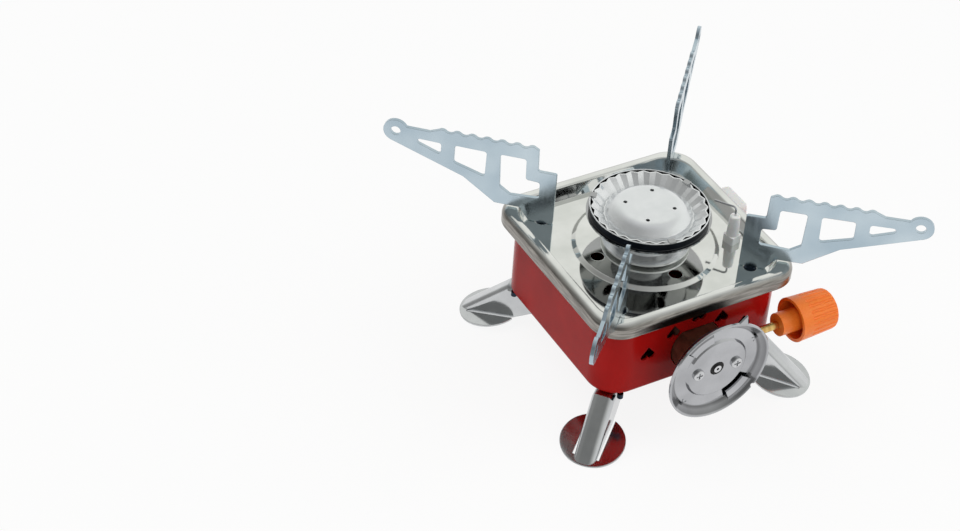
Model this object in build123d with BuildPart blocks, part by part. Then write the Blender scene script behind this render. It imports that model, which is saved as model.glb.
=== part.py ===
from build123d import *
import os
from math import cos, pi, radians, sin, sqrt, tan

os.makedirs("parts", exist_ok=True)

# A square folding gas stove, in millimetres.
# +Z is up, z = 0 is the table, and the origin lies under the burner's axis.
# The valve side faces -Y. The corners are front (-X, -Y), right (+X, -Y), back (+X, +Y), left (-X, +Y).
# A size that ends in rise or drop is measured up or down from the tray floor,
# and one that ends in reach is measured outward from the burner's axis or from a corner pivot.

# Stance
leg_height = 20.5
shell_depth = 36.5
cut_overrun = 2.0
running_clearance = 0.05
joint_gap = 0.3

# Corner headings in degrees, seen from above, and how each piece stands off its diagonal at rest
corner_angles = {"front": 225.0, "right": 315.0, "back": 45.0, "left": 135.0}
support_swing_angles = {"front": 1.4, "right": 5.0, "back": 3.2, "left": 2.4}
leg_swing_angles = {"front": -4.4, "right": 4.8, "back": 0.0, "left": -5.5}

# Body shell, a drawn steel box that is open at the top
shell_width = 84.2
shell_corner = 12.6
shell_sheet = 0.8
shell_round = 2.4

# Heart-shaped air holes on the valve side, apex up, in an arch of five
heart_width = 6.4
heart_height = 6.2
heart_pitch = 11.4
heart_middle_drop = 5.5
heart_inner_drop = 10.2
heart_outer_drop = 17.3
heart_cleft_share = -0.26
heart_lobe_shares = (0.29, -0.5)
heart_flank_shares = (0.5, -0.14)

# Top tray, pressed from polished sheet with a rounded lip all round, that plugs into the shell's mouth
tray_overhang = 4.5
tray_fit_gap = 0.45
tray_corner = 12.5
tray_sheet = 0.7
tray_lip_rise = 5.0
tray_skirt_drop = 1.1
tray_lip_round = 2.8
tray_lip_width = 7.6
tray_corner_step = 3.8
tray_wall_run = 2.6
tray_inner_round = 1.1
raised_radius = 28.6
raised_run = 1.7
raised_rise = 1.2
vent_count = 4
vent_radius = 2.8
vent_circle_radius = 22.9

# Burner: cup, fluted flame ring, cap, collar and ring nut
neck_radius = 9.5
neck_wall = 0.8
neck_drop = 9.0
neck_clearance = 0.1
cup_flare_rise = 8.0
cup_top_rise = 19.4
cup_radius = 24.56
cup_band_wall = 0.5
cup_band_height = 3.3
cup_lip_radius = 25.6
cup_lip_height = 0.8
crimp_angles = (17.0, -100.0, 137.0)
crimp_length = 2.6
crimp_width = 3.0
crimp_thickness = 0.5
flute_count = 28
flute_depth = 1.1
flute_floor_depth = 0.3
flame_ring_gap = 0.12
flame_ring_wall = 0.55
flame_ring_floor_radius = 18.6
flame_ring_floor_rise = 15.2
flame_ring_floor = 0.4
flame_ring_top_rise = 19.3
flame_ring_bore_radius = 6.0
cap_radius = 17.8
cap_flat_radius = 13.5
cap_top_rise = 20.0
cap_edge_rise = 16.7
cap_sheet = 0.7
cap_shoulder_round = 6.0
cap_edge_round = 1.5
cap_hole_count = 4
cap_hole_radius = 0.85
cap_hole_circle_radius = 10.0
cap_hole_angle = 53.0
collar_radius = 18.2
collar_sheet = 0.9
collar_seat_radius = 14.4
collar_lip_height = 1.3
collar_hub_radius = 12.2
collar_hub_height = 4.4
burner_nut_radius = 14.0
burner_nut_height = 3.6

# Mixing tube, from a bell mouth at the jet, round a bend, up into the burner neck
mixer_wall = 0.7
mixer_bend_radius = 12.0
mixer_mouth_cover = 0.5
mixer_bell_radius = 10.6
mixer_bell_length = 4.0
mixer_top_drop = 1.5

# Cartridge plate, a pressed dish that faces -Y
valve_drop = 21.0
plate_stand_off = 11.4
plate_radius = 23.42
plate_sheet = 0.9
plate_floor_radius = 19.6
plate_floor_depth = 3.2
plate_crease_radius = 20.7
plate_crease_depth = 2.0
plate_lip_radius = 22.5
plate_lip_depth = 0.3
plate_rim_depth = 1.1
plate_boss_radius = 13.0
plate_boss_run = 0.9
plate_boss_depth = 2.2
plate_hole_radius = 3.2
plate_tab_angles = (121.0, -51.0)
plate_tab_half_angle = 17.0
plate_tab_reach = 15.9
plate_tab_depth = 1.4
plate_slot_half_angle = 20.0
plate_slot_reach = 15.2
tongue_angle = 69.0
tongue_half_angle = 6.5
tongue_tip_radius = 27.2
notch_angle = -39.0
notch_radius = 1.1

# Plate screws, with a cross recess in each pan head
screw_spacing = 18.0
screw_head_radius = 2.5
screw_head_height = 1.2
screw_head_round = 0.6
screw_shank_radius = 1.5
screw_shank_length = 5.4
screw_cross_length = 3.0
screw_cross_width = 0.7
screw_cross_depth = 0.7

# Valve body, a double-D block that passes through the shell, with a spigot inside
valve_radius = 11.2
valve_flat_height = 17.2
valve_opening_gap = 0.4
valve_inset = 2.0
spigot_radius = 6.0
spigot_length = 6.3
gas_bore_radius = 1.0
nozzle_radius = 1.7
nozzle_bore_radius = 0.6
nozzle_flange_radius = 2.9
nozzle_flange_depth = 2.0
nozzle_rim_gap = 1.6
inlet_seal_gap = 0.2
inlet_seal_height = 0.8
bracket_sheet = 1.5
bracket_width = 26.0
bracket_head = 11.0
bracket_foot = 12.0
bracket_bend = 2.4
bracket_rivet_spacing = 16.0
rivet_radius = 1.5
rivet_head_radius = 2.7
rivet_head_height = 0.9
valve_nut_radius = 9.0
valve_nut_height = 3.5
jet_hex_radius = 4.2
jet_hex_height = 2.5
jet_tip_radius = 2.0
jet_tip_length = 5.0
jet_bore_radius = 0.4

# Valve stem, gland and control knob, along +X
stem_drop = 18.5
stem_stand_off = 6.9
stem_radius = 1.7
stem_flat = 0.5
stem_flat_length = 9.0
needle_length = 4.0
needle_tip_radius = 0.5
gland_hex_radius = 3.8
gland_length = 6.5
gland_seat_reach = 10.6
gland_seat_radius = 4.6
stem_seal_radius = 2.7
stem_seal_length = 1.2
knob_set_back = 0.2
knob_length = 18.3
knob_radius = 9.5
knob_end_radius = 8.6
knob_end_round = 1.6
knob_wall = 1.4
knob_cavity_depth = 11.0
knob_hub_radius = 4.9
knob_hub_length = 7.0
knob_groove_count = 22
knob_groove_radius = 0.75
knob_groove_depth = 0.5
knob_band = 5.0

# Piezo igniter on the +X side: body, retaining clip, sliding button and return spring
igniter_drop = 9.0
igniter_side = 16.0
igniter_width = 14.0
igniter_height = 8.0
igniter_corner = 1.2
igniter_length = 28.0
igniter_hole_gap = 0.3
igniter_flange = 1.4
igniter_flange_sheet = 1.2
igniter_clip_margin = 2.4
igniter_clip_sheet = 1.2
plunger_width = 10.8
plunger_height = 4.8
plunger_length = 13.5
plunger_gap = 0.3
button_width = 16.0
button_height = 9.0
button_corner = 2.8
button_length = 9.2
button_round = 1.4
button_travel = 5.0
button_stop_gap = 0.2
spring_length = 8.0
spring_radius = 1.7
spring_wire_radius = 0.3
spring_turns = 4
terminal_radius = 1.6
terminal_length = 2.0
terminal_inset = 3.0

# Spark electrode beside the burner, its clip, wire and lead
electrode_stand_off = 5.8
electrode_angle = -22.2
ceramic_base_width = 5.4
ceramic_base_height = 3.7
ceramic_base_corner = 0.6
ceramic_base_angle = 13.5
ceramic_root_radius = 2.65
ceramic_tip_radius = 2.15
ceramic_top_rise = 13.3
ceramic_tip_round = 0.7
ceramic_stem_radius = 1.9
ceramic_stem_drop = 4.5
ceramic_hole_gap = 0.2
electrode_clip_radius = 4.4
electrode_clip_sheet = 0.8
spark_wire_radius = 0.45
spark_wire_rise = 17.5
spark_wire_bend = 1.6
spark_gap = 2.9
spark_tip_angle = -12.1
lead_radius = 0.9
lead_dip_y = 2.0
lead_turn_y = -8.0
lead_sag = 13.0
lead_bend_share = 0.45

# Pan supports: serrated plates that swing on studs in the tray corners
support_inset = 11.1
support_sheet = 1.5
support_side = 0.8
support_reach = 68.4
support_height = 37.35
support_heel = 4.8
support_toe = 5.7
support_foot_gap = 0.3
support_rim_gap = 0.9
support_hop_reach = 9.6
support_flat_reach = 20.25
support_kink_shares = (0.497, 0.431)
support_step_share = 0.685
support_step_reach = 3.0
support_shoulder_shares = (0.048, 0.964)
support_tail_shares = (0.716, 0.942)
support_corner = 0.9
crest_count = 7
crest_first_reach = 6.17
crest_pitch = 6.26
crest_depth = 1.2
tip_radius = 5.2
tip_rise = 32.68
tip_hole_radius = 2.1
tip_start_angle = 150.0
tip_end_angle = -68.0
window_round = 1.2
window_shares = (
    ((0.119, 0.822), (0.279, 0.822), (0.271, 0.390), (0.206, 0.303), (0.028, 0.324), (0.028, 0.541),
     (0.115, 0.551)),
    ((0.361, 0.819), (0.558, 0.825), (0.560, 0.592), (0.366, 0.477)),
    ((0.640, 0.819), (0.788, 0.827), (0.789, 0.768), (0.642, 0.661)),
)
tang_width = 3.0
tang_depth = 5.5
stud_radius = 2.6
stud_recess = 0.9
stud_length = 9.5
bush_radius = 5.4
bush_length = 6.3
pivot_hole_gap = 0.25
push_clip_radius = 4.8
push_clip_sheet = 0.9

# Legs: stamped channels that turn on rivets under the shell and end in round feet
leg_inset = 11.1
leg_sheet = 0.8
leg_width = 9.4
leg_round = 3.0
leg_tail = 6.5
leg_tail_wall = 6.8
leg_crown_reach = 11.6
leg_heel_reach = 8.6
leg_foot_reach = 19.5
leg_foot_radius = 13.4
leg_foot_angle = 10.0
leg_foot_flat = 0.25
leg_foot_neck = 4.4
leg_slit = 0.9
leg_rivet_radius = 1.6
leg_rivet_head_height = 1.2
turning_play = 0.1
stop_radius = 1.3
stop_height = 2.1
stop_reach = 7.4

# Derived planes and radii that several pieces share
floor_z = leg_height + shell_depth
shell_half = shell_width / 2
shell_floor_z = leg_height + shell_sheet
tray_width = shell_width + 2 * tray_overhang
tray_floor_width = tray_width - 2 * tray_lip_width
tray_floor_corner = shell_corner - tray_corner_step
tray_under_z = floor_z - tray_sheet
tray_lean = tray_wall_run / tray_lip_rise
tray_wall_offset = tray_sheet * (sqrt(1 + tray_lean**2) - tray_lean)
grown_floor_width = tray_floor_width + 2 * tray_wall_offset
shell_mouth_run = shell_half - shell_sheet - tray_fit_gap - grown_floor_width / 2
shell_top_z = tray_under_z + shell_mouth_run / tray_lean
stem_reach = shell_half + stem_stand_off
plate_rim_reach = stem_reach + plate_stand_off
valve_z = floor_z - valve_drop
valve_front_reach = plate_rim_reach - plate_boss_depth - plate_sheet
valve_back_reach = shell_half - shell_sheet - valve_inset
bracket_back_reach = valve_back_reach - bracket_sheet
spigot_end_reach = valve_back_reach - spigot_length
jet_end_reach = spigot_end_reach - jet_hex_height - jet_tip_length
mixer_mouth_reach = jet_end_reach + mixer_mouth_cover
neck_bore_radius = neck_radius - neck_wall
mixer_radius = neck_bore_radius - neck_clearance
collar_bore_radius = neck_radius + neck_clearance
stem_z = floor_z - stem_drop
knob_reach = shell_half - knob_set_back
igniter_z = floor_z - igniter_drop
igniter_inner_x = shell_half - igniter_length
plunger_end_x = shell_half + igniter_flange_sheet + button_stop_gap + button_travel - plunger_length
cavity_end_x = plunger_end_x - spring_length
electrode_reach = raised_radius + raised_run + electrode_stand_off
electrode_x = electrode_reach * cos(radians(electrode_angle))
electrode_y = electrode_reach * sin(radians(electrode_angle))
spark_tip_reach = cup_lip_radius + spark_gap
support_half = shell_half - support_inset
support_spacing = 2 * support_half
support_radius = Vector(support_half, support_half, 0).length
leg_pivot_half = shell_half - leg_inset
leg_spacing = 2 * leg_pivot_half
leg_radius = Vector(leg_pivot_half, leg_pivot_half, 0).length
leg_top_z = leg_height - joint_gap
valve_axis = Axis((0, 0, valve_z), (0, 1, 0))


def heading(angle):
    """A level unit vector at an angle from +X."""
    return Vector(cos(radians(angle)), sin(radians(angle)), 0)


def corner_plane(radius, angle, swing, height, side=0.0):
    """An upright plane at a corner pivot: its x runs outward along the piece, its y is up."""
    origin = heading(angle) * radius + heading(angle + swing + 90) * side + Vector(0, 0, height)
    return Plane(origin=origin, x_dir=heading(angle + swing), z_dir=heading(angle + swing - 90))


def pivot_plane(radius, angle, swing, height):
    """A level plane at a corner pivot, with its x outward along the piece."""
    return Plane(origin=heading(angle) * radius + Vector(0, 0, height), x_dir=heading(angle + swing))


def valve_plane(reach, height=valve_z):
    """A plane that faces -Y at some reach from the burner's axis: its x is +X, its y is up."""
    return Plane(origin=(0, -reach, height), x_dir=(1, 0, 0), z_dir=(0, -1, 0))


def side_plane(reach, across, height):
    """A plane that faces +X at some reach from the burner's axis: its x is +Y, its y is up."""
    return Plane(origin=(reach, across, height), x_dir=(0, 1, 0), z_dir=(1, 0, 0))


def outline(points):
    """A face bounded by straight lines through the points."""
    with BuildSketch() as shape:
        with BuildLine():
            Polyline(*points, close=True)
        make_face()
    return shape.sketch


def double_d(radius, flat_height):
    """A circle with its top and bottom cut flat."""
    with BuildSketch() as shape:
        Circle(radius)
        Rectangle(2 * radius, flat_height, mode=Mode.INTERSECT)
    return shape.sketch


def flatted(radius, flat):
    """A circle with one side cut flat."""
    with BuildSketch() as shape:
        Circle(radius)
        with Locations((0, radius)):
            Rectangle(2 * radius, 2 * flat, mode=Mode.SUBTRACT)
    return shape.sketch


def ring_sector(inner, outer, middle, half_angle):
    """A piece of a flat ring, centred on an angle."""
    with BuildSketch() as shape:
        with BuildLine():
            far = CenterArc((0, 0), outer, middle - half_angle, 2 * half_angle)
            near = CenterArc((0, 0), inner, middle - half_angle, 2 * half_angle)
            Line(far @ 0, near @ 0)
            Line(far @ 1, near @ 1)
        make_face()
    return shape.sketch


def heart():
    """A heart that stands on its lobes, with its point up."""
    cleft = (0, heart_cleft_share * heart_height)
    lobe_x, lobe_y = heart_lobe_shares[0] * heart_width, heart_lobe_shares[1] * heart_height
    flank_x, flank_y = heart_flank_shares[0] * heart_width, heart_flank_shares[1] * heart_height
    point = (0, heart_height / 2)
    with BuildSketch() as shape:
        with BuildLine():
            ThreePointArc(cleft, (lobe_x, lobe_y), (flank_x, flank_y))
            Line((flank_x, flank_y), point)
            Line(point, (-flank_x, flank_y))
            ThreePointArc((-flank_x, flank_y), (-lobe_x, lobe_y), cleft)
        make_face()
    return shape.sketch


# Body shell
heart_drops = (heart_middle_drop, heart_inner_drop, heart_outer_drop)
heart_columns = range(1 - len(heart_drops), len(heart_drops))
heart_places = [(column * heart_pitch, floor_z - heart_drops[abs(column)]) for column in heart_columns]
bracket_rivet_reach = bracket_back_reach - bracket_foot / 2

with BuildPart() as body_shell:
    with BuildSketch(Plane.XY.offset(leg_height)):
        RectangleRounded(shell_width, shell_width, shell_corner)
    extrude(amount=shell_top_z - leg_height)
    fillet(body_shell.faces().sort_by(Axis.Z)[0].edges(), shell_round)
    offset(amount=-shell_sheet, openings=body_shell.faces().sort_by(Axis.Z)[-1])
    with BuildSketch(valve_plane(shell_half, 0)):
        with Locations(*heart_places):
            add(heart())
        with Locations((0, valve_z)):
            add(double_d(valve_radius + valve_opening_gap, valve_flat_height + 2 * valve_opening_gap))
    extrude(amount=cut_overrun, both=True, mode=Mode.SUBTRACT)
    with BuildSketch(side_plane(shell_half, igniter_side, igniter_z)):
        Rectangle(igniter_width + 2 * igniter_hole_gap, igniter_height + 2 * igniter_hole_gap)
    extrude(amount=cut_overrun, both=True, mode=Mode.SUBTRACT)
    with BuildSketch(Plane.XY.offset(leg_height)):
        with GridLocations(leg_spacing, leg_spacing, 2, 2):
            Circle(leg_rivet_radius)
        with Locations((0, -bracket_rivet_reach)):
            with GridLocations(bracket_rivet_spacing, 0, 2, 1):
                Circle(rivet_radius)
    extrude(amount=cut_overrun, both=True, mode=Mode.SUBTRACT)
body_shell.part.label = "body_shell"
export_step(body_shell.part, "parts/body_shell.step")

# Top tray: outer form, less the recess, less the hollow under the sheet
tray_taper = -Vector(tray_lip_rise, tray_wall_run, 0).get_angle(Vector(1, 0, 0))
grown_floor_corner = tray_floor_corner + tray_wall_offset
raised_under_radius = raised_radius - tray_sheet

with BuildPart() as tray_hollow:
    with BuildSketch(Plane.XY.offset(floor_z - tray_skirt_drop)):
        RectangleRounded(tray_width - 2 * tray_sheet, tray_width - 2 * tray_sheet, tray_corner - tray_sheet)
    extrude(amount=tray_skirt_drop + tray_lip_rise - tray_sheet)
    fillet(tray_hollow.faces().sort_by(Axis.Z)[-1].edges(), tray_lip_round - tray_sheet)
    with BuildSketch(Plane.XY.offset(tray_under_z)):
        RectangleRounded(grown_floor_width, grown_floor_width, grown_floor_corner)
    extrude(amount=tray_lip_rise + tray_sheet, taper=tray_taper, mode=Mode.SUBTRACT)

with BuildPart() as top_tray:
    with BuildSketch(Plane.XY.offset(floor_z - tray_skirt_drop)):
        RectangleRounded(tray_width, tray_width, tray_corner)
    extrude(amount=tray_skirt_drop + tray_lip_rise)
    fillet(top_tray.faces().sort_by(Axis.Z)[-1].edges(), tray_lip_round)
    with BuildSketch(Plane.XY.offset(floor_z)):
        RectangleRounded(tray_floor_width, tray_floor_width, tray_floor_corner)
    extrude(amount=tray_lip_rise, taper=tray_taper, mode=Mode.SUBTRACT)
    lip_face = top_tray.faces().filter_by(Axis.Z).sort_by(Axis.Z)[-1]
    fillet(lip_face.inner_wires()[0].edges(), tray_inner_round)
    add(tray_hollow.part, mode=Mode.SUBTRACT)
    with BuildSketch(Plane.XZ):
        add(outline([(0, tray_under_z), (raised_radius + raised_run, tray_under_z),
                     (raised_radius + raised_run, floor_z), (raised_radius, floor_z + raised_rise),
                     (0, floor_z + raised_rise)]))
    revolve(axis=Axis.Z)
    with BuildSketch(Plane.XZ):
        add(outline([(0, tray_under_z), (raised_under_radius + raised_run, tray_under_z),
                     (raised_under_radius, tray_under_z + raised_rise), (0, tray_under_z + raised_rise)]))
    revolve(axis=Axis.Z, mode=Mode.SUBTRACT)
    with BuildSketch(Plane.XY.offset(floor_z)):
        Circle(neck_radius + neck_clearance)
        with PolarLocations(vent_circle_radius, vent_count):
            Circle(vent_radius)
        with GridLocations(support_spacing, support_spacing, 2, 2):
            Circle(stud_radius + pivot_hole_gap)
        with Locations((electrode_x, electrode_y)):
            Circle(ceramic_stem_radius + ceramic_hole_gap)
    extrude(amount=cut_overrun, both=True, mode=Mode.SUBTRACT)
top_tray.part.label = "top_tray"
export_step(top_tray.part, "parts/top_tray.step")

# Pivot bushes under the tray corners, one solid each
with BuildPart() as pivot_bushes:
    with BuildSketch(Plane.XY.offset(tray_under_z)):
        with GridLocations(support_spacing, support_spacing, 2, 2):
            Circle(bush_radius)
            Circle(stud_radius + running_clearance, mode=Mode.SUBTRACT)
    extrude(amount=-bush_length)
pivot_bushes.part.label = "pivot_bushes"
export_step(pivot_bushes.part, "parts/pivot_bushes.step")

# Burner cup: neck, flare, rolled lip and band, with three crimped ears on its rim
band_base_z = floor_z + cup_top_rise - cup_band_height
lip_base_z = band_base_z - cup_lip_height
flare_z = floor_z + cup_flare_rise
flare_slope = (lip_base_z - flare_z) / (cup_lip_radius - neck_radius)
flare_lift = neck_wall * sqrt(1 + flare_slope**2)
band_bore_radius = cup_radius - cup_band_wall
cup_top_z = floor_z + cup_top_rise

with BuildPart() as burner_cup:
    with BuildSketch(Plane.XZ):
        add(outline([
            (neck_radius, floor_z - neck_drop), (neck_radius, flare_z), (cup_lip_radius, lip_base_z),
            (cup_lip_radius, band_base_z), (cup_radius, band_base_z), (cup_radius, cup_top_z),
            (band_bore_radius, cup_top_z),
            (band_bore_radius, flare_z + (band_bore_radius - neck_radius) * flare_slope + flare_lift),
            (neck_bore_radius, flare_z - neck_wall * flare_slope + flare_lift),
            (neck_bore_radius, floor_z - neck_drop),
        ]))
    revolve(axis=Axis.Z)
    with BuildSketch(Plane.XY.offset(cup_top_z)):
        for crimp_angle in crimp_angles:
            crimp_centre = heading(crimp_angle) * (cup_radius - crimp_length / 2)
            with Locations(Location(crimp_centre, crimp_angle)):
                Rectangle(crimp_length, crimp_width)
    extrude(amount=crimp_thickness)
burner_cup.part.label = "burner_cup"
export_step(burner_cup.part, "parts/burner_cup.step")


def fluted_star(rise, inset):
    """A zigzag ring of points on the fluted cone, at a height over the tray floor."""
    climb = (rise - flame_ring_floor_rise) / (flame_ring_top_rise - flame_ring_floor_rise)
    rim_radius = band_bore_radius - flame_ring_gap
    crest = flame_ring_floor_radius + (rim_radius - flame_ring_floor_radius) * climb - inset
    depth = flute_floor_depth + (flute_depth - flute_floor_depth) * climb
    step = 180 / flute_count
    return [heading(k * step) * (crest - depth * (k % 2)) for k in range(2 * flute_count)]


# Flame ring: a fluted bowl inside the cup's band
ring_seat_rise = flame_ring_floor_rise + flame_ring_floor
ring_open_rise = flame_ring_top_rise + cut_overrun

with BuildPart() as flame_ring:
    with BuildSketch(Plane.XY.offset(floor_z + flame_ring_floor_rise)):
        add(outline(fluted_star(flame_ring_floor_rise, 0)))
    with BuildSketch(Plane.XY.offset(floor_z + flame_ring_top_rise)):
        add(outline(fluted_star(flame_ring_top_rise, 0)))
    loft(ruled=True)
    with BuildSketch(Plane.XY.offset(floor_z + ring_seat_rise)):
        add(outline(fluted_star(ring_seat_rise, flame_ring_wall)))
    with BuildSketch(Plane.XY.offset(floor_z + ring_open_rise)):
        add(outline(fluted_star(ring_open_rise, flame_ring_wall)))
    loft(ruled=True, mode=Mode.SUBTRACT)
    with BuildSketch(Plane.XY.offset(floor_z + flame_ring_floor_rise)):
        Circle(flame_ring_bore_radius)
    extrude(amount=cut_overrun, both=True, mode=Mode.SUBTRACT)
flame_ring.part.label = "flame_ring"
export_step(flame_ring.part, "parts/flame_ring.step")

# Burner cap: a shallow lid with a soft shoulder, that stands on the flame ring's floor
cap_top_z = floor_z + cap_top_rise
cap_edge_z = floor_z + cap_edge_rise
cap_seat_z = floor_z + ring_seat_rise

with BuildPart() as burner_cap:
    with BuildSketch(Plane.XZ):
        with BuildLine():
            over = FilletPolyline(
                (0, cap_top_z), (cap_flat_radius, cap_top_z),
                (cap_radius, cap_edge_z), (cap_radius, cap_seat_z),
                radius=[cap_shoulder_round, cap_edge_round],
            )
            under = FilletPolyline(
                (0, cap_top_z - cap_sheet), (cap_flat_radius - cap_sheet / 2, cap_top_z - cap_sheet),
                (cap_radius - cap_sheet, cap_edge_z - cap_sheet / 2), (cap_radius - cap_sheet, cap_seat_z),
                radius=[cap_shoulder_round - cap_sheet, cap_edge_round - cap_sheet],
            )
            Line(over @ 0, under @ 0)
            Line(over @ 1, under @ 1)
        make_face()
    revolve(axis=Axis.Z)
    with BuildSketch(Plane.XY.offset(cap_top_z)):
        with PolarLocations(cap_hole_circle_radius, cap_hole_count, start_angle=cap_hole_angle):
            Circle(cap_hole_radius)
    extrude(amount=cut_overrun, both=True, mode=Mode.SUBTRACT)
burner_cap.part.label = "burner_cap"
export_step(burner_cap.part, "parts/burner_cap.step")

# Burner collar: a dished ring on the raised middle of the tray
collar_base_z = floor_z + raised_rise

with BuildPart() as burner_collar:
    with BuildSketch(Plane.XZ):
        add(outline([
            (collar_bore_radius, collar_base_z), (collar_seat_radius, collar_base_z),
            (collar_radius, collar_base_z + collar_lip_height),
            (collar_radius, collar_base_z + collar_lip_height + collar_sheet),
            (collar_seat_radius, collar_base_z + collar_sheet),
            (collar_hub_radius, collar_base_z + 2 * collar_sheet),
            (collar_hub_radius - collar_sheet, collar_base_z + collar_hub_height),
            (collar_bore_radius, collar_base_z + collar_hub_height),
        ]))
    revolve(axis=Axis.Z)
burner_collar.part.label = "burner_collar"
export_step(burner_collar.part, "parts/burner_collar.step")

# Ring nut that clamps the burner neck from under the tray
with BuildPart() as burner_nut:
    with BuildSketch(Plane.XY.offset(tray_under_z + raised_rise)):
        RegularPolygon(burner_nut_radius, 6)
        Circle(collar_bore_radius, mode=Mode.SUBTRACT)
    extrude(amount=-burner_nut_height)
burner_nut.part.label = "burner_nut"
export_step(burner_nut.part, "parts/burner_nut.step")

# Mixing tube
mixer_mouth = (0, -mixer_mouth_reach, valve_z)
mixer_top = (0, 0, floor_z - mixer_top_drop)
bell_root_y = mixer_bell_length - mixer_mouth_reach

with BuildPart() as mixing_tube:
    with BuildLine() as mixer_path:
        FilletPolyline(mixer_mouth, (0, 0, valve_z), mixer_top, radius=mixer_bend_radius)
    with BuildSketch(valve_plane(mixer_mouth_reach)):
        Circle(mixer_radius)
        Circle(mixer_radius - mixer_wall, mode=Mode.SUBTRACT)
    sweep(path=mixer_path.line)
    with BuildSketch(Plane.XY.offset(valve_z)):
        add(outline([
            (mixer_radius, bell_root_y), (mixer_bell_radius, -mixer_mouth_reach),
            (mixer_bell_radius - mixer_wall, -mixer_mouth_reach), (mixer_radius - mixer_wall, bell_root_y),
        ]))
    revolve(axis=valve_axis)
    with BuildSketch(valve_plane(mixer_mouth_reach)):
        Circle(mixer_bell_radius - mixer_wall)
    with BuildSketch(valve_plane(mixer_mouth_reach - mixer_bell_length)):
        Circle(mixer_radius - mixer_wall)
    loft(mode=Mode.SUBTRACT)
mixing_tube.part.label = "mixing_tube"
export_step(mixing_tube.part, "parts/mixing_tube.step")

# Valve body
screw_seat_reach = plate_rim_reach - plate_boss_depth
stem_bore_radius = stem_radius + running_clearance

with BuildPart() as valve_body:
    with BuildSketch(valve_plane(valve_front_reach)):
        add(double_d(valve_radius, valve_flat_height))
    extrude(amount=valve_back_reach - valve_front_reach)
    with BuildSketch(valve_plane(valve_back_reach)):
        Circle(spigot_radius)
    extrude(amount=-spigot_length)
    with BuildSketch(valve_plane(valve_front_reach)):
        Circle(gas_bore_radius)
    extrude(amount=spigot_end_reach - valve_front_reach, mode=Mode.SUBTRACT)
    with BuildSketch(valve_plane(valve_front_reach)):
        Circle(nozzle_flange_radius)
    extrude(amount=-nozzle_flange_depth, mode=Mode.SUBTRACT)
    with BuildSketch(valve_plane(valve_front_reach)):
        with GridLocations(screw_spacing, 0, 2, 1):
            Circle(screw_shank_radius)
    extrude(amount=screw_seat_reach - valve_front_reach - screw_shank_length, mode=Mode.SUBTRACT)
    with BuildSketch(side_plane(gland_seat_reach, -stem_reach, stem_z)):
        Circle(gland_seat_radius)
    extrude(amount=valve_radius, mode=Mode.SUBTRACT)
    with BuildSketch(side_plane(gland_seat_reach, -stem_reach, stem_z)):
        Circle(stem_bore_radius)
    extrude(amount=-gland_seat_reach, mode=Mode.SUBTRACT)
valve_body.part.label = "valve_body"
export_step(valve_body.part, "parts/valve_body.step")

# Bracket that carries the valve from the shell floor
bracket_height = valve_z + bracket_head - shell_floor_z

with BuildPart() as valve_bracket:
    with BuildSketch(valve_plane(valve_back_reach, shell_floor_z)):
        with Locations((0, bracket_height / 2)):
            Rectangle(bracket_width, bracket_height)
        with Locations((0, valve_z - shell_floor_z)):
            Circle(spigot_radius + neck_clearance, mode=Mode.SUBTRACT)
    extrude(amount=-bracket_sheet)
    with BuildSketch(Plane.XY.offset(shell_floor_z)):
        with Locations((0, -bracket_rivet_reach)):
            Rectangle(bracket_width, bracket_foot)
            with GridLocations(bracket_rivet_spacing, 0, 2, 1):
                Circle(rivet_radius, mode=Mode.SUBTRACT)
    extrude(amount=bracket_sheet)
    outer_bend = (0, -valve_back_reach, shell_floor_z)
    fillet(valve_bracket.edges().filter_by(Axis.X).sort_by_distance(outer_bend)[0], bracket_bend)
    inner_bend = (0, -bracket_back_reach, shell_floor_z + bracket_sheet)
    inner_radius = bracket_bend - bracket_sheet
    fillet(valve_bracket.edges().filter_by(Axis.X).sort_by_distance(inner_bend)[0], inner_radius)
valve_bracket.part.label = "valve_bracket"
export_step(valve_bracket.part, "parts/valve_bracket.step")

# Rivets of the bracket, one solid each
with BuildPart() as bracket_rivets:
    with BuildSketch(Plane.XY.offset(leg_height - rivet_head_height)):
        with Locations((0, -bracket_rivet_reach)):
            with GridLocations(bracket_rivet_spacing, 0, 2, 1):
                Circle(rivet_head_radius)
    extrude(amount=rivet_head_height)
    with BuildSketch(Plane.XY.offset(leg_height)):
        with Locations((0, -bracket_rivet_reach)):
            with GridLocations(bracket_rivet_spacing, 0, 2, 1):
                Circle(rivet_radius)
    extrude(amount=shell_sheet + bracket_sheet)
    with BuildSketch(Plane.XY.offset(shell_floor_z + bracket_sheet)):
        with Locations((0, -bracket_rivet_reach)):
            with GridLocations(bracket_rivet_spacing, 0, 2, 1):
                Circle(rivet_head_radius)
    extrude(amount=rivet_head_height)
bracket_rivets.part.label = "bracket_rivets"
export_step(bracket_rivets.part, "parts/bracket_rivets.step")

# Nut on the valve spigot
with BuildPart() as valve_nut:
    with BuildSketch(valve_plane(bracket_back_reach)):
        RegularPolygon(valve_nut_radius, 6)
        Circle(spigot_radius, mode=Mode.SUBTRACT)
    extrude(amount=-valve_nut_height)
valve_nut.part.label = "valve_nut"
export_step(valve_nut.part, "parts/valve_nut.step")

# Gas jet in the end of the spigot
with BuildPart() as gas_jet:
    with BuildSketch(valve_plane(spigot_end_reach)):
        RegularPolygon(jet_hex_radius, 6)
    extrude(amount=-jet_hex_height)
    with BuildSketch(valve_plane(spigot_end_reach - jet_hex_height)):
        Circle(jet_tip_radius)
    extrude(amount=-jet_tip_length)
    with BuildSketch(valve_plane(spigot_end_reach)):
        Circle(jet_bore_radius)
    extrude(amount=jet_end_reach - spigot_end_reach, mode=Mode.SUBTRACT)
gas_jet.part.label = "gas_jet"
export_step(gas_jet.part, "parts/gas_jet.step")

# Gland nut on the side of the valve, with its seal in a counterbore
gland_end_reach = gland_seat_reach + gland_length
seal_reach = gland_end_reach - stem_seal_length

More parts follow.
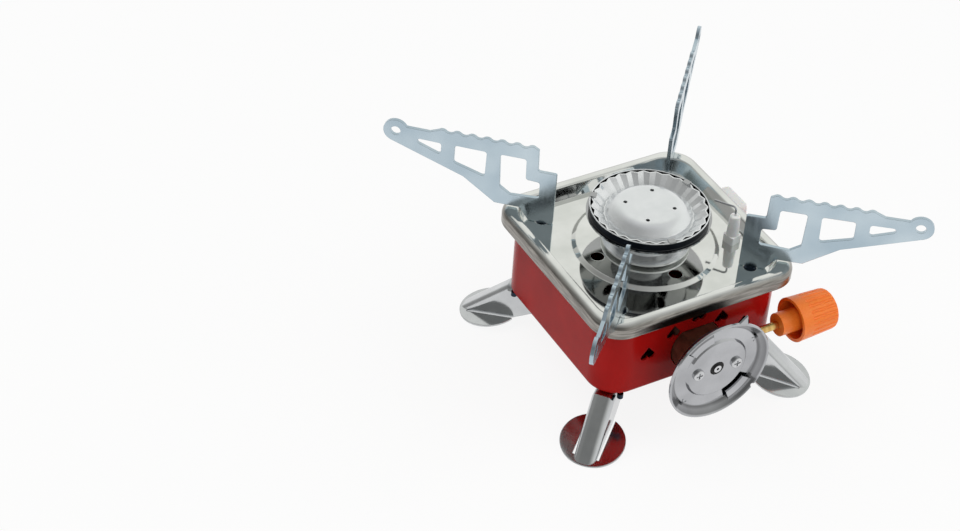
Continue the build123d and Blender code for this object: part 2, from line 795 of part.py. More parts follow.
with BuildPart() as gland_nut:
    with BuildSketch(side_plane(gland_seat_reach, -stem_reach, stem_z)):
        RegularPolygon(gland_hex_radius, 6, rotation=30)
        Circle(stem_bore_radius, mode=Mode.SUBTRACT)
    extrude(amount=gland_length)
    with BuildSketch(side_plane(seal_reach, -stem_reach, stem_z)):
        Circle(stem_seal_radius)
    extrude(amount=stem_seal_length, mode=Mode.SUBTRACT)
gland_nut.part.label = "gland_nut"
export_step(gland_nut.part, "parts/gland_nut.step")

with BuildPart() as stem_seal:
    with BuildSketch(side_plane(seal_reach, -stem_reach, stem_z)):
        Circle(stem_seal_radius)
        Circle(stem_bore_radius, mode=Mode.SUBTRACT)
    extrude(amount=stem_seal_length)
stem_seal.part.label = "stem_seal"
export_step(stem_seal.part, "parts/stem_seal.step")

# Cartridge plate: a dish of revolution with two bayonet tabs, a locating tongue and a rim notch
rim_y = -plate_rim_reach
plate_back = [
    (plate_lip_radius + plate_sheet / 2, rim_y + plate_rim_depth),
    (plate_crease_radius + plate_sheet / 2, rim_y + plate_crease_depth + plate_sheet),
    (plate_floor_radius + plate_sheet / 2, rim_y + plate_floor_depth + plate_sheet),
    (plate_boss_radius + plate_boss_run, rim_y + plate_floor_depth + plate_sheet),
    (plate_boss_radius, rim_y + plate_boss_depth + plate_sheet),
    (plate_hole_radius, rim_y + plate_boss_depth + plate_sheet),
]
plate_front = [
    (plate_hole_radius, rim_y + plate_boss_depth),
    (plate_boss_radius + plate_sheet / 2, rim_y + plate_boss_depth),
    (plate_boss_radius + plate_sheet / 2 + plate_boss_run, rim_y + plate_floor_depth),
    (plate_floor_radius, rim_y + plate_floor_depth),
    (plate_crease_radius, rim_y + plate_crease_depth),
    (plate_lip_radius, rim_y + plate_lip_depth),
    (plate_lip_radius + plate_lip_depth, rim_y),
    (plate_radius - plate_lip_depth, rim_y),
    (plate_radius, rim_y + plate_lip_depth),
    (plate_radius, rim_y + plate_rim_depth),
]
tab_seat_share = (plate_crease_depth - plate_tab_depth) / (plate_crease_depth - plate_lip_depth)
tab_wall_radius = plate_crease_radius + (plate_lip_radius - plate_crease_radius) * tab_seat_share
tab_root_radius = tab_wall_radius + plate_sheet / 4

with BuildPart() as cartridge_plate:
    with BuildSketch(Plane.XY.offset(valve_z)):
        add(outline(plate_back + plate_front))
    revolve(axis=valve_axis)
    with BuildSketch(valve_plane(plate_rim_reach - plate_floor_depth)):
        for tab_angle in plate_tab_angles:
            add(ring_sector(plate_slot_reach, plate_floor_radius, tab_angle, plate_slot_half_angle))
    extrude(amount=cut_overrun, both=True, mode=Mode.SUBTRACT)
    with BuildSketch(valve_plane(plate_rim_reach - plate_tab_depth)):
        for tab_angle in plate_tab_angles:
            add(ring_sector(plate_tab_reach, tab_root_radius, tab_angle, plate_tab_half_angle))
    extrude(amount=-plate_sheet)
    with BuildSketch(valve_plane(plate_rim_reach - plate_lip_depth)):
        add(outline([
            heading(tongue_angle - tongue_half_angle) * (plate_radius - plate_sheet),
            heading(tongue_angle) * tongue_tip_radius,
            heading(tongue_angle + tongue_half_angle) * (plate_radius - plate_sheet),
        ]))
    extrude(amount=-plate_sheet)
    with BuildSketch(valve_plane(plate_rim_reach)):
        with Locations(heading(notch_angle) * plate_radius):
            Circle(notch_radius)
        with GridLocations(screw_spacing, 0, 2, 1):
            Circle(screw_shank_radius)
    extrude(amount=-(plate_floor_depth + plate_sheet), mode=Mode.SUBTRACT)
cartridge_plate.part.label = "cartridge_plate"
export_step(cartridge_plate.part, "parts/cartridge_plate.step")

# Plate screws, one solid each
with BuildPart() as plate_screws:
    with BuildSketch(valve_plane(screw_seat_reach)):
        with GridLocations(screw_spacing, 0, 2, 1):
            Circle(screw_head_radius)
    extrude(amount=screw_head_height)
    head_rims = plate_screws.faces().sort_by(Axis.Y)[:2]
    fillet(head_rims.edges(), screw_head_round)
    with BuildSketch(valve_plane(screw_seat_reach)):
        with GridLocations(screw_spacing, 0, 2, 1):
            Circle(screw_shank_radius)
    extrude(amount=-screw_shank_length)
    with BuildSketch(valve_plane(screw_seat_reach + screw_head_height)):
        with GridLocations(screw_spacing, 0, 2, 1):
            Rectangle(screw_cross_length, screw_cross_width)
            Rectangle(screw_cross_width, screw_cross_length)
    extrude(amount=-screw_cross_depth, mode=Mode.SUBTRACT)
plate_screws.part.label = "plate_screws"
export_step(plate_screws.part, "parts/plate_screws.step")

# Inlet nozzle, with a flange in the valve's counterbore, and its seal
nozzle_seat_reach = valve_front_reach - nozzle_flange_depth
nozzle_length = plate_rim_reach - nozzle_rim_gap - nozzle_seat_reach

with BuildPart() as inlet_nozzle:
    with BuildSketch(valve_plane(nozzle_seat_reach)):
        Circle(nozzle_flange_radius)
    extrude(amount=nozzle_flange_depth)
    with BuildSketch(valve_plane(nozzle_seat_reach)):
        Circle(nozzle_radius)
    extrude(amount=nozzle_length)
    with BuildSketch(valve_plane(nozzle_seat_reach)):
        Circle(nozzle_bore_radius)
    extrude(amount=nozzle_length, mode=Mode.SUBTRACT)
inlet_nozzle.part.label = "inlet_nozzle"
export_step(inlet_nozzle.part, "parts/inlet_nozzle.step")

with BuildPart() as inlet_seal:
    with BuildSketch(valve_plane(valve_front_reach)):
        Circle(plate_hole_radius - inlet_seal_gap)
        Circle(nozzle_radius, mode=Mode.SUBTRACT)
    extrude(amount=inlet_seal_height)
inlet_seal.part.label = "inlet_seal"
export_step(inlet_seal.part, "parts/inlet_seal.step")

# Valve stem: a needle at its inner end and a flat for the knob at its outer end
stem_end_x = knob_reach - knob_hub_length + stem_flat_length + knob_hub_radius
flat_start_x = stem_end_x - stem_flat_length

with BuildPart() as valve_stem:
    with BuildSketch(side_plane(0, -stem_reach, stem_z)):
        Circle(needle_tip_radius)
    with BuildSketch(side_plane(needle_length, -stem_reach, stem_z)):
        Circle(stem_radius)
    loft()
    with BuildSketch(side_plane(needle_length, -stem_reach, stem_z)):
        Circle(stem_radius)
    extrude(amount=flat_start_x - needle_length)
    with BuildSketch(side_plane(flat_start_x, -stem_reach, stem_z)):
        add(flatted(stem_radius, stem_flat))
    extrude(amount=stem_flat_length)
valve_stem.part.label = "valve_stem"
export_step(valve_stem.part, "parts/valve_stem.step")

# Control knob: a tapered, grooved cap with a deep cavity round its hub
hub_start_x = knob_reach - knob_hub_length
cavity_end = knob_reach + knob_cavity_depth
knob_slope = (knob_radius - knob_end_radius) / knob_length
knob_frame = side_plane(knob_reach, -stem_reach, stem_z)
groove_inset = knob_groove_radius - knob_groove_depth
groove_start_radius = knob_radius - knob_slope * knob_band + groove_inset
groove_end_radius = knob_end_radius - knob_slope * cut_overrun + groove_inset

with BuildPart() as knob_groove:
    with BuildSketch(Plane.XY.offset(knob_band)):
        with Locations((groove_start_radius, 0)):
            Circle(knob_groove_radius)
    with BuildSketch(Plane.XY.offset(knob_length + cut_overrun)):
        with Locations((groove_end_radius, 0)):
            Circle(knob_groove_radius)
    loft()

with BuildPart() as control_knob:
    with BuildSketch(knob_frame):
        Circle(knob_radius)
    with BuildSketch(knob_frame.offset(knob_length)):
        Circle(knob_end_radius)
    loft()
    fillet(control_knob.faces().sort_by(Axis.X)[-1].edges(), knob_end_round)
    with BuildSketch(knob_frame):
        Circle(knob_radius - knob_wall)
    extrude(amount=knob_cavity_depth, mode=Mode.SUBTRACT)
    with BuildSketch(side_plane(hub_start_x, -stem_reach, stem_z)):
        Circle(knob_hub_radius)
    extrude(amount=cavity_end - hub_start_x)
    with BuildSketch(side_plane(hub_start_x, -stem_reach, stem_z)):
        Circle(stem_radius)
    extrude(amount=flat_start_x - hub_start_x, mode=Mode.SUBTRACT)
    with BuildSketch(side_plane(flat_start_x, -stem_reach, stem_z)):
        add(flatted(stem_radius, stem_flat))
    extrude(amount=stem_flat_length, mode=Mode.SUBTRACT)
    with Locations(knob_frame):
        with PolarLocations(0, knob_groove_count):
            add(knob_groove.part, mode=Mode.SUBTRACT)
control_knob.part.label = "control_knob"
export_step(control_knob.part, "parts/control_knob.step")

# Piezo igniter body, with a flange outside the shell and a cavity for the plunger
flange_end_x = shell_half + igniter_flange_sheet
flange_width = igniter_width + 2 * igniter_flange
flange_height = igniter_height + 2 * igniter_flange
terminal_x = igniter_inner_x + terminal_inset
terminal_y = igniter_side - igniter_width / 2

with BuildPart() as igniter_body:
    with BuildSketch(side_plane(igniter_inner_x, igniter_side, igniter_z)):
        RectangleRounded(igniter_width, igniter_height, igniter_corner)
    extrude(amount=igniter_length)
    with BuildSketch(side_plane(shell_half, igniter_side, igniter_z)):
        RectangleRounded(flange_width, flange_height, igniter_flange)
    extrude(amount=igniter_flange_sheet)
    with BuildSketch(side_plane(cavity_end_x, igniter_side, igniter_z)):
        Rectangle(plunger_width + 2 * plunger_gap, plunger_height + 2 * plunger_gap)
    extrude(amount=flange_end_x - cavity_end_x, mode=Mode.SUBTRACT)
    with BuildSketch(Plane(origin=(terminal_x, terminal_y, igniter_z), x_dir=(1, 0, 0), z_dir=(0, -1, 0))):
        Circle(terminal_radius)
    extrude(amount=terminal_length)
igniter_body.part.label = "igniter_body"
export_step(igniter_body.part, "parts/igniter_body.step")

# Spring clip that holds the igniter behind the shell wall
with BuildPart() as igniter_clip:
    with BuildSketch(side_plane(shell_half - shell_sheet, igniter_side, igniter_z)):
        Rectangle(igniter_width + 2 * igniter_clip_margin, igniter_height + 2 * igniter_clip_margin)
        RectangleRounded(igniter_width, igniter_height, igniter_corner, mode=Mode.SUBTRACT)
    extrude(amount=-igniter_clip_sheet)
igniter_clip.part.label = "igniter_clip"
export_step(igniter_clip.part, "parts/igniter_clip.step")

# Igniter button with its plunger
button_back_x = flange_end_x + button_stop_gap + button_travel

with BuildPart() as igniter_button:
    with BuildSketch(side_plane(button_back_x, igniter_side, igniter_z)):
        RectangleRounded(button_width, button_height, button_corner)
    extrude(amount=button_length)
    fillet(igniter_button.faces().sort_by(Axis.X)[-1].edges(), button_round)
    with BuildSketch(side_plane(button_back_x, igniter_side, igniter_z)):
        Rectangle(plunger_width, plunger_height)
    extrude(amount=-plunger_length)
igniter_button.part.label = "igniter_button"
export_step(igniter_button.part, "parts/igniter_button.step")

# Return spring between the plunger and the end of its cavity, wound in half-turn arcs
coil_start_x = cavity_end_x + spring_wire_radius
coil_half_pitch = (spring_length - 2 * spring_wire_radius) / (2 * spring_turns)


def coil_point(half_turn):
    """The end of a half turn, on alternate sides of the spring's axis."""
    side = spring_radius if half_turn % 2 == 0 else -spring_radius
    return Vector(coil_start_x + half_turn * coil_half_pitch, igniter_side + side, igniter_z)


with BuildPart() as igniter_spring:
    with BuildLine() as coil:
        for half_turn in range(2 * spring_turns):
            start, end = coil_point(half_turn), coil_point(half_turn + 1)
            lift = (end - start).length / 2 * (1 if half_turn % 2 == 0 else -1)
            ThreePointArc(start, (start + end) / 2 + Vector(0, 0, lift), end)
    with BuildSketch(Plane(origin=coil_point(0), x_dir=(1, 0, 0), z_dir=(0, 0, 1))):
        Circle(spring_wire_radius)
    sweep(path=coil.line)
igniter_spring.part.label = "igniter_spring"
export_step(igniter_spring.part, "parts/igniter_spring.step")
spring_gap = 2 * coil_half_pitch - 2 * spring_wire_radius
print(f"spring: {spring_turns} turns, gap between turns {spring_gap:.2f} mm")

# Ceramic electrode insulator: stem through the tray, square base and tapered body
ceramic_top_z = floor_z + ceramic_top_rise

with BuildPart() as electrode_insulator:
    with BuildSketch(Plane.XY.offset(floor_z)):
        with Locations(Location((electrode_x, electrode_y), ceramic_base_angle)):
            RectangleRounded(ceramic_base_width, ceramic_base_width, ceramic_base_corner)
    extrude(amount=ceramic_base_height)
    with BuildSketch(Plane.XY.offset(floor_z + ceramic_base_height)):
        with Locations((electrode_x, electrode_y)):
            Circle(ceramic_root_radius)
    with BuildSketch(Plane.XY.offset(ceramic_top_z)):
        with Locations((electrode_x, electrode_y)):
            Circle(ceramic_tip_radius)
    loft()
    fillet(electrode_insulator.faces().sort_by(Axis.Z)[-1].edges(), ceramic_tip_round)
    with BuildSketch(Plane.XY.offset(floor_z)):
        with Locations((electrode_x, electrode_y)):
            Circle(ceramic_stem_radius)
    extrude(amount=-ceramic_stem_drop)
    with BuildSketch(Plane.XY.offset(floor_z - ceramic_stem_drop)):
        with Locations((electrode_x, electrode_y)):
            Circle(spark_wire_radius)
    extrude(amount=ceramic_stem_drop + ceramic_top_rise, mode=Mode.SUBTRACT)
electrode_insulator.part.label = "electrode_insulator"
export_step(electrode_insulator.part, "parts/electrode_insulator.step")

# Clip washer that holds the insulator from under the tray
with BuildPart() as electrode_clip:
    with BuildSketch(Plane.XY.offset(tray_under_z)):
        with Locations((electrode_x, electrode_y)):
            Circle(electrode_clip_radius)
            Circle(ceramic_stem_radius, mode=Mode.SUBTRACT)
    extrude(amount=-electrode_clip_sheet)
electrode_clip.part.label = "electrode_clip"
export_step(electrode_clip.part, "parts/electrode_clip.step")

# Electrode wire: up through the ceramic, then over towards the burner's edge
spark_z = floor_z + spark_wire_rise
spark_route = [
    (electrode_x, electrode_y, floor_z - ceramic_stem_drop),
    (electrode_x, electrode_y, spark_z),
    heading(spark_tip_angle) * spark_tip_reach + Vector(0, 0, spark_z),
]

with BuildPart() as electrode_wire:
    with BuildLine() as spark_path:
        FilletPolyline(*spark_route, radius=spark_wire_bend)
    with BuildSketch(Plane(origin=spark_route[0], z_dir=(0, 0, 1))):
        Circle(spark_wire_radius)
    sweep(path=spark_path.line)
electrode_wire.part.label = "electrode_wire"
export_step(electrode_wire.part, "parts/electrode_wire.step")

# Ignition lead, held inside the shell from the igniter's terminal to the electrode
lead_z = floor_z - lead_sag
lead_points = [
    Vector(terminal_x, terminal_y - terminal_length, igniter_z),
    Vector(terminal_x, lead_dip_y, igniter_z),
    Vector(terminal_x, lead_turn_y, lead_z),
    Vector(electrode_x, electrode_y, lead_z),
    Vector(electrode_x, electrode_y, floor_z - ceramic_stem_drop),
]
lead_radii = []
for before, corner, after in zip(lead_points, lead_points[1:], lead_points[2:]):
    turn = (corner - before).get_angle(after - corner)
    shorter = min((corner - before).length, (after - corner).length)
    lead_radii.append(lead_bend_share * shorter / tan(radians(turn / 2)))

with BuildPart() as ignition_lead:
    with BuildLine() as lead_path:
        FilletPolyline(*lead_points, radius=lead_radii)
    with BuildSketch(Plane(origin=lead_points[0], z_dir=lead_points[1] - lead_points[0])):
        Circle(lead_radius)
    sweep(path=lead_path.line)
ignition_lead.part.label = "ignition_lead"
export_step(ignition_lead.part, "parts/ignition_lead.step")
lead_expected = pi * lead_radius**2 * sum(edge.length for edge in lead_path.edges())
print("lead radii", [round(radius, 1) for radius in lead_radii])
print(f"lead volume {ignition_lead.part.volume:.1f}, section times length {lead_expected:.1f}")

# Pan supports with their studs and push-on clips, one of each at every corner
rim_clear_rise = tray_lip_rise + support_rim_gap
tip_centre_reach = support_reach - tip_radius
step_rise = support_step_share * support_height
crest_mid_rise = support_height - crest_depth / 2


def support_point(shares):
    """A point of the plate, from shares of its reach and of its height."""
    return (shares[0] * support_reach, shares[1] * support_height)


def tip_point(angle):
    """A point on the round end of the plate."""
    spoke = heading(angle) * tip_radius
    return (tip_centre_reach + spoke.X, tip_rise + spoke.Y)


def support_outline():
    """The plate seen from its side: x outward from the pivot, y up from the tray floor."""
    first_crest = crest_first_reach - crest_pitch / 4
    last_crest = crest_first_reach + (crest_count - 1) * crest_pitch + crest_pitch / 4
    with BuildSketch() as shape:
        with BuildLine():
            FilletPolyline(
                tip_point(tip_end_angle),
                support_point(support_kink_shares),
                (support_flat_reach, rim_clear_rise),
                (support_hop_reach, rim_clear_rise),
                (support_toe, support_foot_gap),
                (-support_heel, support_foot_gap),
                (-support_heel, step_rise),
                (support_step_reach, step_rise),
                support_point(support_shoulder_shares),
                (first_crest, crest_mid_rise),
                radius=support_corner,
            )
            for crest in range(crest_count):
                top = crest_first_reach + crest * crest_pitch
                left, right = top - crest_pitch / 4, top + crest_pitch / 4
                ThreePointArc((left, crest_mid_rise), (top, support_height), (right, crest_mid_rise))
                if crest < crest_count - 1:
                    valley = (top + crest_pitch / 2, support_height - crest_depth)
                    ThreePointArc((right, crest_mid_rise), valley, (right + crest_pitch / 2, crest_mid_rise))
            tip_start = tip_point(tip_start_angle)
            Polyline((last_crest, crest_mid_rise), support_point(support_tail_shares), tip_start)
            ThreePointArc(tip_start, (support_reach, tip_rise), tip_point(tip_end_angle))
        make_face()
        with Locations((tip_centre_reach, tip_rise)):
            Circle(tip_hole_radius, mode=Mode.SUBTRACT)
        with Locations((0, (support_foot_gap + support_corner - tang_depth) / 2)):
            Rectangle(tang_width, support_foot_gap + support_corner + tang_depth)
    return shape.sketch


def window_outline(shares):
    """One rounded window of the plate."""
    with BuildSketch() as shape:
        add(outline([support_point(point) for point in shares]))
        fillet(shape.vertices(), window_round)
    return shape.sketch


stud_top_z = floor_z - stud_recess
bush_bottom_z = tray_under_z - bush_length

for corner, angle in corner_angles.items():
    swing = support_swing_angles[corner]
    with BuildPart() as pan_support:
        with BuildSketch(corner_plane(support_radius, angle, swing, floor_z, support_side)):
            add(support_outline())
            for shares in window_shares:
                add(window_outline(shares), mode=Mode.SUBTRACT)
        extrude(amount=support_sheet / 2, both=True)
    pan_support.part.label = f"pan_support_{corner}"
    export_step(pan_support.part, f"parts/pan_support_{corner}.step")

    with BuildPart() as support_stud:
        with BuildSketch(pivot_plane(support_radius, angle, swing, stud_top_z)):
            Circle(stud_radius)
        extrude(amount=-stud_length)
        with BuildSketch(pivot_plane(support_radius, angle, swing, stud_top_z)):
            with Locations((0, support_side)):
                Rectangle(tang_width, support_sheet)
        extrude(amount=stud_recess - tang_depth, mode=Mode.SUBTRACT)
    support_stud.part.label = f"support_stud_{corner}"
    export_step(support_stud.part, f"parts/support_stud_{corner}.step")

    with BuildPart() as support_clip:
        with BuildSketch(pivot_plane(support_radius, angle, swing, bush_bottom_z - turning_play)):
            Circle(push_clip_radius)
            Circle(stud_radius, mode=Mode.SUBTRACT)
        extrude(amount=-push_clip_sheet)
    support_clip.part.label = f"support_clip_{corner}"
    export_step(support_clip.part, f"parts/support_clip_{corner}.step")

# Legs
leg_half = leg_width / 2
leg_inner_round = leg_round - leg_sheet
foot_cos, foot_sin = cos(radians(leg_foot_angle)), sin(radians(leg_foot_angle))
foot_tan = tan(radians(leg_foot_angle))
foot_rise = leg_foot_radius * foot_sin - leg_foot_flat
crown_end_reach = leg_foot_reach + (leg_foot_radius - leg_sheet) * foot_cos


def foot_height(reach):
    """Height of the foot's underside over the table, at some reach from the leg's pivot."""
    return foot_rise - (reach - leg_foot_reach) * foot_tan


crown_end_z = foot_height(crown_end_reach) + leg_sheet
crown_slope = (leg_top_z - crown_end_z) / (crown_end_reach - leg_crown_reach)
crown_inset = leg_sheet * (sqrt(1 + crown_slope**2) - 1) / crown_slope
under_top_z = leg_top_z - leg_sheet
under_crown_reach = leg_crown_reach - crown_inset
under_end_reach = under_crown_reach + (under_top_z + cut_overrun) / crown_slope


def leg_block(plane, points, half_width, round_radius):
    """An upright block across a leg, with its top edges rounded along the leg."""
    with BuildPart() as block:
        with BuildSketch(plane):
            add(outline(points))
        extrude(amount=half_width, both=True)
        crests = block.faces().filter_by(lambda face: face.normal_at().Z > 0.5)
        along = [edge for edge in crests.edges() if abs(edge.tangent_at(0.5).dot(plane.z_dir)) < 0.5]
        fillet(along, round_radius)
    return block.part


for corner, angle in corner_angles.items():
    swing = leg_swing_angles[corner]
    upright = corner_plane(leg_radius, angle, swing, 0)
    channel = leg_block(
        upright,
        [(-leg_tail, leg_top_z), (leg_crown_reach, leg_top_z), (crown_end_reach, crown_end_z),
         (crown_end_reach, foot_height(crown_end_reach)), (leg_heel_reach, foot_height(leg_heel_reach)),
         (-leg_tail, leg_top_z - leg_tail_wall)],
        leg_half, leg_round,
    )
    inside = leg_block(
        upright,
        [(-leg_tail - cut_overrun, under_top_z), (under_crown_reach, under_top_z),
         (under_end_reach, -cut_overrun), (-leg_tail - cut_overrun, -cut_overrun)],
        leg_half - leg_sheet, leg_inner_round,
    )
    foot_plane = Plane(
        origin=upright.from_local_coords((leg_foot_reach, foot_rise, 0)),
        x_dir=upright.x_dir * foot_cos - Vector(0, 0, foot_sin),
        z_dir=upright.x_dir * foot_sin + Vector(0, 0, foot_cos),
    )
    slot_length = 2 * leg_foot_radius - leg_foot_neck
    with BuildPart() as leg:
        with BuildSketch(foot_plane):
            Circle(leg_foot_radius)
            with Locations((-leg_foot_neck / 2 - cut_overrun / 2, 0)):
                Rectangle(slot_length + cut_overrun, leg_width + 2 * leg_slit, mode=Mode.SUBTRACT)
        extrude(amount=leg_sheet)
        add(channel)
        add(inside, mode=Mode.SUBTRACT)
        with BuildSketch(pivot_plane(leg_radius, angle, swing, leg_top_z)):
            Circle(leg_rivet_radius + running_clearance)
        extrude(amount=cut_overrun, both=True, mode=Mode.SUBTRACT)
        with BuildSketch(pivot_plane(leg_radius, angle, swing, 0)):
            with Locations((leg_foot_reach, 0)):
                Circle(2 * leg_foot_radius)
        extrude(amount=-cut_overrun, mode=Mode.SUBTRACT)
    leg.part.label = f"leg_{corner}"
    export_step(leg.part, f"parts/leg_{corner}.step")

# Leg rivets, one solid each, headed inside the shell and under the legs
rivet_head_room = leg_half - leg_round + sqrt(leg_inner_round**2 - (leg_inner_round - turning_play)**2)
leg_rivet_head_radius = rivet_head_room - running_clearance
rivet_base_z = under_top_z - turning_play - leg_rivet_head_height

with BuildPart() as leg_rivets:
    with BuildSketch(Plane.XY.offset(rivet_base_z)):
        with GridLocations(leg_spacing, leg_spacing, 2, 2):
            Circle(leg_rivet_head_radius)
    extrude(amount=leg_rivet_head_height)
    with BuildSketch(Plane.XY.offset(rivet_base_z)):
        with GridLocations(leg_spacing, leg_spacing, 2, 2):
            Circle(leg_rivet_radius)
    extrude(amount=shell_floor_z - rivet_base_z)
    with BuildSketch(Plane.XY.offset(shell_floor_z)):
        with GridLocations(leg_spacing, leg_spacing, 2, 2):
            Circle(leg_rivet_head_radius)
    extrude(amount=leg_rivet_head_height)
leg_rivets.part.label = "leg_rivets"
export_step(leg_rivets.part, "parts/leg_rivets.step")

# Stop pegs under the shell, one against the side of each opened leg
with BuildPart() as leg_stops:
    for corner, angle in corner_angles.items():
        with BuildSketch(pivot_plane(leg_radius, angle, leg_swing_angles[corner], leg_height)):
            with Locations((stop_reach, leg_half + turning_play + stop_radius)):
                Circle(stop_radius)
    extrude(amount=-stop_height)
leg_stops.part.label = "leg_stops"
export_step(leg_stops.part, "parts/leg_stops.step")
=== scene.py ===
# %% [markdown]
# # A square folding gas stove
# The solids of this stove come from a CAD model, already packed with their joints. Blender's job is the
# looks: finishes for every piece, a few fine rolled and stamped details, light, and a camera where the
# picture was taken. The solids are loaded first and are never moved, because every joint and size
# depends on them.

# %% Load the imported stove
import math

import bpy
from mathutils import Matrix, Vector


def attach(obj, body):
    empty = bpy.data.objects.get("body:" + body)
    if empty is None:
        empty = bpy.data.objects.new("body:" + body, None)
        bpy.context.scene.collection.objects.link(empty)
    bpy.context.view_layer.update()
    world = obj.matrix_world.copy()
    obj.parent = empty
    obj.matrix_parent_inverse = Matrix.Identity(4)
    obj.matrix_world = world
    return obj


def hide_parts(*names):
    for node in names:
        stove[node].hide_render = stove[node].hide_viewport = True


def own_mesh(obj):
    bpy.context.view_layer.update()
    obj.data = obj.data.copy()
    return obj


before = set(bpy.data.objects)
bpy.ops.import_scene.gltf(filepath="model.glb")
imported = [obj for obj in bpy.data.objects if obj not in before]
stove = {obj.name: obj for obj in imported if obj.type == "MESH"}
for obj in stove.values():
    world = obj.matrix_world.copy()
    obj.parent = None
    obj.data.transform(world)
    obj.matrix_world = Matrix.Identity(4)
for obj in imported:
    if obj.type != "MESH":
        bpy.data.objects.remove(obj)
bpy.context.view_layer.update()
MM = 0.001

# %% [markdown]
# ## The camera
# A camera has a place, a direction and a focal length. These were worked out from the picture by
# matching the tray's corners, the burner's circle and the feet. The small roll is there because the
# picture is a little tilted. The camera's axes are built as three unit vectors, which is steadier than
# turning Euler angles by hand.

# %% Place the camera
CAMERA_PLACE = Vector((-0.4162, -0.55842, 0.61564))
CAMERA_AZIMUTH = math.radians(-31.197)
CAMERA_ELEVATION = math.radians(39.74)
CAMERA_ROLL = math.radians(3.91)
SENSOR_WIDTH = 36.0
FOCAL_PIXELS = 2174.93
PICTURE_WIDTH = 960

away = Vector((
    math.sin(CAMERA_AZIMUTH) * math.cos(CAMERA_ELEVATION),
    -math.cos(CAMERA_AZIMUTH) * math.cos(CAMERA_ELEVATION),
    math.sin(CAMERA_ELEVATION),
))
level_right = Vector((math.cos(CAMERA_AZIMUTH), math.sin(CAMERA_AZIMUTH), 0))
level_up = away.cross(level_right)
right = math.cos(CAMERA_ROLL) * level_right + math.sin(CAMERA_ROLL) * level_up
up = -math.sin(CAMERA_ROLL) * level_right + math.cos(CAMERA_ROLL) * level_up

lens = bpy.data.cameras.new("picture_camera")
lens.sensor_width = SENSOR_WIDTH
lens.lens = SENSOR_WIDTH * FOCAL_PIXELS / PICTURE_WIDTH
camera = bpy.data.objects.new("picture_camera", lens)
bpy.context.collection.objects.link(camera)
turned = Matrix((right, up, away)).transposed().to_4x4()
camera.matrix_world = Matrix.Translation(CAMERA_PLACE) @ turned
bpy.context.scene.camera = camera
bpy.context.scene.view_settings.view_transform = "Standard"
print("lens", round(lens.lens, 2), "mm")

# %% [markdown]
# ## Helpers for finishes
# Every finish below is a small network of nodes. One function turns the hex colours that painters and
# web pages use into the linear values that Blender mixes. The next adds a node, sets its values and
# makes its links, so that each finish reads as a short list of what it is made from. The last two start
# a finish and give it to solids by name.

# %% Colour and node helpers
def colour(hex_code):
    """Turns an sRGB hex colour into linear red, green, blue and alpha."""
    channels = [int(hex_code[k:k + 2], 16) / 255 for k in (1, 3, 5)]
    linear = [c / 12.92 if c <= 0.04045 else ((c + 0.055) / 1.055) ** 2.4 for c in channels]
    return (*linear, 1.0)


def add_node(tree, kind, values=None, links=None, **settings):
    """Adds a node with its settings, its input values and its links."""
    node = tree.nodes.new(kind)
    for name, value in settings.items():
        setattr(node, name, value)
    for name, value in (values or {}).items():
        node.inputs[name].default_value = value
    for name, socket in (links or {}).items():
        tree.links.new(socket, node.inputs[name])
    return node


# %% Start a finish and dress solids in it
def new_finish(name, values):
    """Starts a finish: its material, node tree, shader and the solid's own coordinates."""
    material = bpy.data.materials.new(name)
    material.use_nodes = True
    tree = material.node_tree
    shader = tree.nodes["Principled BSDF"]
    for socket, value in values.items():
        shader.inputs[socket].default_value = value
    place = add_node(tree, "ShaderNodeTexCoord").outputs["Object"]
    return material, tree, shader, place


def dress(material, *names):
    """Gives a finish to solids by name."""
    for name in names:
        for slot in stove[name].material_slots:
            slot.material = material


corners = ("front", "right", "back", "left")
BEVEL_SAMPLES = 4

# %% [markdown]
# ## Red enamel
# The box is drawn steel under baked enamel: a hard, glossy paint about a tenth of a millimetre thick.
# Enamel is never quite flat. It has a faint orange-peel ripple with waves of a millimetre or two, which
# breaks up reflections, and the colour is a touch deeper where the coat is thicker. The red is deep, so
# the gloss is kept modest: a strong one would veil the sides with the white of the paper below. Cut edges
# are never razor sharp, and their tiny round catches the light. A Bevel node bends the shading over the
# last third of a millimetre at every edge, so the rims of the heart-shaped holes glint.

# %% Baked enamel for the shell
enamel, tree, shader, place = new_finish("baked_red_enamel", {
    "Roughness": 0.2, "Specular IOR Level": 0.06, "Coat Weight": 0.06, "Coat Roughness": 0.04})
EDGE_ROUND = 0.3 * MM
PEEL_SIZE = 1.6 * MM
PEEL_DEPTH = 0.2 * MM
CLOUD_SIZE = 22 * MM
clouds = add_node(tree, "ShaderNodeTexNoise", {"Scale": 1 / CLOUD_SIZE, "Detail": 3.0}, {"Vector": place})
red = add_node(tree, "ShaderNodeValToRGB", links={"Fac": clouds.outputs["Fac"]})
red.color_ramp.elements[0].position = 0.3
red.color_ramp.elements[0].color = colour("#9c100e")
red.color_ramp.elements[1].position = 0.72
red.color_ramp.elements[1].color = colour("#b41613")
tree.links.new(red.outputs["Color"], shader.inputs["Base Color"])
peel = add_node(tree, "ShaderNodeTexNoise", {"Scale": 1 / PEEL_SIZE, "Detail": 1.0}, {"Vector": place})
edges = add_node(tree, "ShaderNodeBevel", {"Radius": EDGE_ROUND}, samples=BEVEL_SAMPLES)
ripple = add_node(tree, "ShaderNodeBump", {"Strength": 0.05, "Distance": PEEL_DEPTH},
                  {"Height": peel.outputs["Fac"], "Normal": edges.outputs["Normal"]})
tree.links.new(ripple.outputs["Normal"], shader.inputs["Normal"])
dress(enamel, "body_shell")
print("dressed the shell in", enamel.name)

